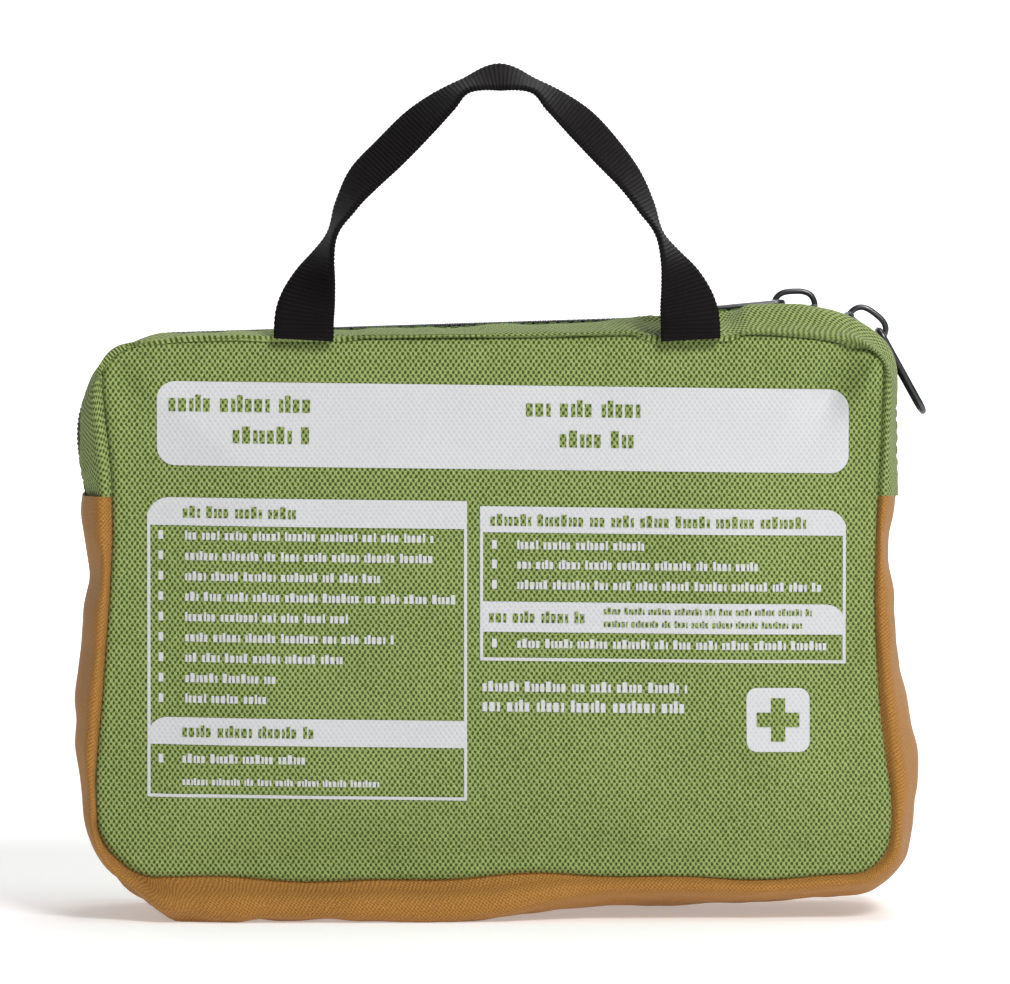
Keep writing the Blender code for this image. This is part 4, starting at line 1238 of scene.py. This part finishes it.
def make_roll_look(node, material, slot, floor, pitch=1.15):
    """A bandage wound on itself, its layers showing at the ends."""
    low, high = extent(node)
    radius = (high[2] - low[2]) / 2
    turns = (radius - 4.0) / pitch
    angle = np.linspace(0, turns * 2 * math.pi, int(turns * 40))
    reach = 4.0 + pitch * angle / (2 * math.pi)
    y, z = (low[1] + high[1]) / 2, (low[2] + high[2]) / 2
    left = max(low[0], -81.0)
    loops = []
    for away in (0.0, pitch * 0.78):
        spread = reach - away
        frill = 0.35 * np.sin(angle * 2.7)
        for x_end, sign in ((left, 1), (high[0], -1)):
            loops.append(np.column_stack([
                x_end + sign * (0.4 + frill), y + spread * np.cos(angle), z + spread * np.sin(angle),
            ]))
    loops = [loops[0], loops[1], loops[3], loops[2]]
    count = len(angle)
    faces = []
    for k in range(4):
        m = (k + 1) % 4
        for i in range(count - 1):
            faces.append((k * count + i, k * count + i + 1, m * count + i + 1, m * count + i))
    faces.append(tuple(k * count for k in range(4)))
    faces.append(tuple(k * count + count - 1 for k in range(4)))
    points = np.concatenate(loops)
    lift = max(0.0, max(floor_under(floor, x, y) for x in (left, high[0])) - low[2])
    piece = outward_mesh(f"{node}_look", points + np.array([0, 0, lift]), faces, material, 60)
    finish_piece(piece, "bag", slot, node)


def make_bandage_look(node, floor):
    """A folded cloth bandage: a soft stack of layers that show along its ends."""
    low, high = extent(node)
    rows, columns = 48, 60
    turn = np.linspace(0, 2 * math.pi, rows, endpoint=False)
    middle, half = (low + high) / 2, (high - low) / 2
    section = np.stack([
        np.sign(np.cos(turn)) * np.abs(np.cos(turn)) ** 0.35,
        np.sign(np.sin(turn)) * np.abs(np.sin(turn)) ** 0.35,
    ], axis=1)
    layers = 0.04 * np.cos(section[:, 0] * 22)
    loops = []
    for share in np.linspace(-1, 1, columns):
        end = (1 - abs(share) ** 14) ** 0.3
        y = middle[1] + section[:, 0] * half[1] * (0.86 + 0.1 * end)
        z = middle[2] + section[:, 1] * half[2] * (0.93 + layers) * (0.94 + 0.04 * end)
        x = np.full(rows, middle[0] + share * (half[0] - 3) + 2)
        loops.append(np.column_stack([x, y, z]))
    points = np.stack(loops)
    points[..., 2] += 0.8 * wobble(points, 16, 41)
    faces = [
        (i * rows + k, (i + 1) * rows + k, (i + 1) * rows + (k + 1) % rows, i * rows + (k + 1) % rows)
        for i in range(columns - 1) for k in range(rows)
    ]
    faces += [tuple(range(rows)), tuple(range((columns - 1) * rows, columns * rows))]
    piece = outward_mesh(f"{node}_look", points.reshape(-1, 3), faces, "gauze", 60)
    finish_piece(piece, "bag", "gauze", node)


def make_bottle_look(word, material, slot, body, neck, cap_height, floor):
    """A bottle with rounded shoulders and a label band, under a ribbed screw cap."""
    low, high = extent(f"{word}_bottle")
    radius = 0.93 * (high[0] - low[0]) / 2  # clear of the back seam
    x, y = (low[0] + high[0]) / 2, (low[1] + high[1]) / 2
    top = high[2] - low[2]
    foot = 0.92 * radius
    turns = np.radians(np.arange(0, 360, 30))
    around = [(x, y)] + [(x + foot * math.cos(a), y + foot * math.sin(a)) for a in turns]
    lift = max(0.0, max(floor_under(floor, *spot) for spot in around) - low[2])
    base = (x, y, low[2] + lift)
    profile = softened([
        (0, 1.2), (radius * 0.7, 1.0), (radius * 0.8, 0), (radius, 0), (radius, body - 9),
        (radius * 0.93, body - 4), (neck + 1, body - 0.3), (neck, body), (neck, top), (0, top),
    ], 1.6)
    points, faces = lathe(profile, base, "z")
    bottle = outward_mesh(f"{word}_bottle_look", points, faces, material)
    finish_piece(bottle, "bag", slot, f"{word}_bottle")
    first, last = 10, body - 16
    inner, outer = radius - 0.4, radius + 0.12
    band = softened([(inner, first), (outer, first), (outer, last), (inner, last)], 0.1)
    ring, ring_faces = lathe([(0, first)] + band + [(0, last)], base, "z")
    label = outward_mesh(f"{word}_label", ring, ring_faces, "paper")
    finish_piece(label, "bag", "packet_paper")
    cap_low, cap_high = extent(f"{word}_cap")
    outer = (cap_high[0] - cap_low[0]) / 2
    start = cap_low[2] - low[2]
    end = start + cap_height
    inner_top = top + 0.3
    cap = softened([
        (0, inner_top), (neck + 0.3, inner_top), (neck + 0.3, start), (outer, start), (outer, end), (0, end),
    ], 0.7)
    points, faces = lathe(cap, base, "z", 160, 40, 0.5, (start + 1.5, end - 1.5))
    made = outward_mesh(f"{word}_cap_look", points, faces, "white")
    finish_piece(made, "peroxide_cap" if word == "peroxide" else "bag", "white_plastic", f"{word}_cap")


def make_syringe_look():
    """A barrel with graduations and a finger flange, a tip cap, and the ribbed plunger in it."""
    low, _ = extent("syringe_tip_cap")
    cad_barrel_low, barrel_high = extent("syringe_barrel")
    _, plunger_high = extent("syringe_plunger")
    seal_low, seal_high = extent("plunger_seal")
    y, z = (cad_barrel_low[1] + barrel_high[1]) / 2, (cad_barrel_low[2] + barrel_high[2]) / 2
    base = (low[0], y, z)
    end = barrel_high[0] - low[0]
    barrel = softened([
        (0, 3), (2.0, 3), (2.2, 14), (7.6, 14), (8.6, 15.4), (8.6, end - 2), (12, end - 2), (12, end),
        (7.5, end), (7.5, 16), (0, 16),
    ], 0.5)
    points, faces = lathe(barrel, base, "x")
    piece = outward_mesh("syringe_barrel_look", points, faces, "clear")
    finish_piece(piece, "bag", "clear_plastic", "syringe_barrel")
    marks = []
    for step in range(11):
        reach = 0.9 if step % 5 == 0 else 0.55
        angle = np.linspace(-reach, reach, 12) + math.pi / 2
        x = base[0] + 24 + step * 5.6
        line = np.column_stack([np.full(12, x), y + 8.62 * np.cos(angle), z + 8.62 * np.sin(angle)])
        marks.append(tube_data(line, 0.16, 5, sideways=(1.0, 0, 0)))
    verts, faces = joined(marks)
    finish_piece(add_mesh("syringe_marks", place(verts), faces, "rubber"), "bag", "clear_plastic")
    cap = softened([(0, 0), (3.6, 0), (4.5, 1.2), (4.5, 12), (2.5, 12), (2.5, 2.7), (0, 2.7)], 0.5)
    points, faces = lathe(cap, base, "x", 96, 24, 0.0)
    piece = outward_mesh("syringe_tip_cap_look", points, faces, "white")
    finish_piece(piece, "bag", "white_plastic", "syringe_tip_cap")
    first, last = seal_low[0] - low[0], seal_high[0] - low[0]
    seal = softened([
        (0, first), (5.5, first), (7.2, first + 1), (7.2, first + 2), (6.6, first + 2.6),
        (6.6, last - 2.2), (7.2, last - 1.6), (7.2, last), (0, last),
    ], 0.3)
    points, faces = lathe(seal, base, "x")
    piece = outward_mesh("plunger_seal_look", points, faces, "rubber")
    finish_piece(piece, "plunger", "black_rubber", "plunger_seal")
    start, stop = last + 0.3, plunger_high[0] - low[0]
    rod = []
    for turn in (0, 90):
        blade = [(start, -6.2), (start + 2, -6.2), (start + 3, -5.0), (stop - 4, -5.0), (stop - 1, -6.6),
                 (stop - 1, 6.6), (stop - 4, 5.0), (start + 3, 5.0), (start + 2, 6.2), (start, 6.2)]
        shape, polygons = rounded_plate(blade, -0.55, 0.55, 0.12)
        spin = np.array(Matrix.Rotation(math.radians(turn), 3, "X"))
        rod.append((shape @ spin.T + np.array(base), polygons))
    for radius, one, two in ((6.6, start, start + 1.4), (10.0, stop - 2, stop)):
        rod.append(lathe(softened([(0, one), (radius, one), (radius, two), (0, two)], 0.5), base, "x"))
    verts, faces = joined(rod)
    finish_piece(add_mesh("syringe_plunger_look", place(verts), faces, "white", smooth=40), "plunger",
                 "white_plastic", "syringe_plunger")


def make_forceps_look():
    """Two sprung steel arms that taper to fine tips."""
    pivot = (np.array(JOINTS["forceps_squeeze"]["pos_m"]) - ORIGIN) / MM
    low, _ = extent("forceps_arm_left")
    long = pivot[2] - low[2] - 2
    bow = smooth_through(np.array([(0, 0.2), (0.12, 1.6), (0.45, 5.0), (0.8, 4.6), (1, 2.6)]), 80)
    for side, word, body in ((-1, "left", "bag"), (1, "right", "forceps_arm")):
        loops = []
        for share, away in bow:
            half = 4.0 * (1 - 0.8 * max(0.0, share - 0.4) / 0.6)
            thick = 1.1 - 0.3 * share
            x, z = pivot[0] + side * away, pivot[2] - long * share
            grip = 0.12 * math.sin(share * 160) * (0.35 < share < 0.6)
            loops.append([
                (x, pivot[1] - half, z), (x, pivot[1] + half, z),
                (x + side * (thick + grip) * 0.6, pivot[1] + half * 1.02, z),
                (x + side * (thick + grip), pivot[1] + half * 0.7, z),
                (x + side * (thick + grip), pivot[1] - half * 0.7, z),
                (x + side * (thick + grip) * 0.6, pivot[1] - half * 1.02, z),
            ])
        points, faces = np.array(loops).reshape(-1, 3), []
        for i in range(len(loops) - 1):
            for k in range(6):
                m = (k + 1) % 6
                faces.append((i * 6 + k, i * 6 + m, (i + 1) * 6 + m, (i + 1) * 6 + k))
        faces += [tuple(range(6)), tuple(range(len(points) - 6, len(points)))]
        piece = outward_mesh(f"forceps_arm_{word}_look", points, faces, "steel")
        finish_piece(piece, body, "forceps_steel", f"forceps_arm_{word}")


def booklet_leaf(name, low, high, y, thick, out, material, *nodes):
    """One skin of the booklet, slightly curled at its top."""
    u, v = np.meshgrid(np.linspace(0, 1, 12), np.linspace(0, 1, 14))
    x, z = low[0] + u * (high[0] - low[0]), low[2] + v * (high[2] - low[2])
    curl = 0.5 * bell(v, 1, 0.3) * np.sin(u * 3)
    grid = np.stack([x, y - curl, z], axis=2)
    piece = cloth_piece(name, grid, material, lambda p: (0, out, 0), thick=thick)
    finish_piece(piece, "bag", "booklet_paper", *nodes)


def make_booklet_look():
    """A folded cover round a block of pages whose edges show."""
    low, high = extent("first_aid_booklet")
    low[2] = 15.0
    card, inset = 0.3, 0.8
    booklet_leaf("booklet_cover_back", low, high, high[1] - card, 0.28, 1, "booklet")
    booklet_leaf(
        "booklet_cover", low, high, low[1] + card / 2, card, -1, "booklet", "first_aid_booklet",
    )
    page_low, page_high = low + inset, high - inset
    page_high[2] = high[2] - 0.6
    first, last = low[1] + 0.35, high[1] - 0.35
    booklet_leaf("booklet_pages", page_low, page_high, first, last - first, -1, "pages")


def make_pocket_look():
    """A net pocket with a gathered elastic hem, sewn to the front panel's inside."""
    low, high = extent("inner_pocket")
    elastic_low, elastic_high = extent("pocket_elastic")
    x = np.linspace(low[0], high[0], 90)
    z = np.linspace(21.0, high[2], 50)
    xx, zz = np.meshgrid(x, z)
    edge = np.minimum(xx - low[0], high[0] - xx)
    belly = 1.0 * np.sin((zz - z[0]) / (z[-1] - z[0]) * math.pi)
    y = -26.8 + (high[1] + 26.8) * smooth_step(edge, 0, 7) + belly * smooth_step(edge, 5, 30) * 0.4
    y += 0.35 * np.sin(xx * 0.9) * smooth_step(zz, high[2] - 14, high[2]) * (edge > 3)
    net = cloth_piece("pocket_net", np.stack([xx, y, zz], axis=2), "net", lambda p: (0, 1, 0), thick=0.35)
    finish_piece(net, "bag", "pocket_mesh", "inner_pocket")
    across = np.linspace(elastic_low[0], elastic_high[0], 120)
    up = np.linspace(elastic_low[2], elastic_high[2], 10)
    xx, zz = np.meshgrid(across, up)
    y = elastic_high[1] - 0.3 + 0.3 * np.sin(xx * 0.9)
    hem = np.stack([xx, y, zz], axis=2)
    band = cloth_piece("pocket_band", hem, "webbing", lambda p: (0, 1, 0), thick=1.2)
    finish_piece(band, "bag", "webbing", "pocket_elastic")


def make_contents(lower):
    floor = surface_tree(lower)
    make_booklet_look()
    make_pocket_look()
    plans = (
        ("gauze_dressing", 2, "wrap", "dressing_wrap"), ("alcohol_swab", 2, "foil", "packet_foil"),
        ("nonadherent_dressing", 2, "paper", "packet_paper"), ("antiseptic_wipe", 6, "foil", "packet_foil"),
        ("ointment_packet", 3, "ointment", "ointment_foil"),
        ("antihistamine_packet", 2, "paper", "packet_paper"),
    )
    for seed, (name, count, material, slot) in enumerate(plans):
        for i in range(1, count + 1):
            make_packet(f"{name}_{i}", material, slot, floor, seed * 10 + i)
    make_roll_look("elastic_bandage_roll", "elastic", "elastic_bandage", floor)
    make_roll_look("conforming_gauze_roll", "gauze", "gauze", floor, 0.9)
    make_bandage_look("triangular_bandage", floor)
    make_bottle_look("saline", "clear", "clear_plastic", 66, 7, 15, floor)
    make_bottle_look("peroxide", "brown", "brown_bottle", 56, 8, 14, floor)
    make_syringe_look()
    make_forceps_look()


# ---------------------------------------------------------------- studio


def make_studio():
    bm = bmesh.new()
    flat, curve, wall = 1.9, 0.6, 2.4
    profile = [(-2.6, 0.0), (flat, 0.0)]
    for angle in np.linspace(0.1, math.pi / 2, 12):
        profile.append((flat + curve * math.sin(angle), curve - curve * math.cos(angle)))
    profile.append((flat + curve, wall))
    rows = [[bm.verts.new((x, y, z)) for x in (-3.0, 3.0)] for y, z in profile]
    for one, two in zip(rows, rows[1:]):
        bm.faces.new((one[0], one[1], two[1], two[0]))
    mesh = bpy.data.meshes.new("studio_floor")
    bm.to_mesh(mesh)
    bm.free()
    mesh.shade_smooth()
    floor = bpy.data.objects.new("studio_floor", mesh)
    bpy.context.collection.objects.link(floor)
    g = Graph("studio_paper", (0.86, 0.86, 0.86), 0.9)
    g.set("Emission Color", (1, 1, 1, 1))
    _, deep, _ = g.split(g.here())
    near_glow, far_glow = 0.32, 0.62
    glow = g.math("MULTIPLY", g.step(deep, 0.5, 1.8), far_glow)
    g.set("Emission Strength", g.math("ADD", glow, near_glow))
    mesh.materials.append(g.material)
    lamps = (
        ("key", (0.55, -1.1, 1.1), 0.45, 17.0), ("top", (0.2, 0.0, 1.2), 0.7, 4.5),
        ("rear", (0.35, 1.2, 0.9), 0.6, 5.0),
    )
    for name, spot, size, power in lamps:
        light = bpy.data.lights.new(name, "AREA")
        light.size, light.energy = size, power
        lamp = bpy.data.objects.new(name, light)
        lamp.location = spot
        lamp.rotation_euler = (Vector((0, 0, 0.08)) - Vector(spot)).to_track_quat("-Z", "Y").to_euler()
        bpy.context.collection.objects.link(lamp)
    world = bpy.data.worlds.new("studio")
    world.use_nodes = True
    world.node_tree.nodes["Background"].inputs["Color"].default_value = (1, 1, 1, 1)
    world.node_tree.nodes["Background"].inputs["Strength"].default_value = 0.1
    bpy.context.scene.world = world
    bpy.context.scene.view_settings.view_transform = "Standard"


def make_camera():
    """At the height of the bag's top and a little to its left, some way off."""
    aim = Vector(place((2.5, -SEAM_Y - 3, 108.2)))
    spot = Vector(place((-32, -SEAM_Y - 3 - 1300, 150)))
    view = bpy.data.cameras.new("camera")
    view.sensor_width = 36
    view.lens = 185.4
    view.clip_start, view.clip_end = 0.05, 20
    camera = bpy.data.objects.new("camera", view)
    camera.location = spot
    camera.rotation_euler = (aim - spot).to_track_quat("-Z", "Y").to_euler()
    bpy.context.collection.objects.link(camera)
    bpy.context.scene.camera = camera


# ---------------------------------------------------------------- all of it

make_camera()
make_studio()
front = make_panels()
make_stitching(make_zip_gussets())
lower = make_lower_gusset()
make_zip()
make_contents(lower)
make_sliders()
make_handle()
make_print(front)
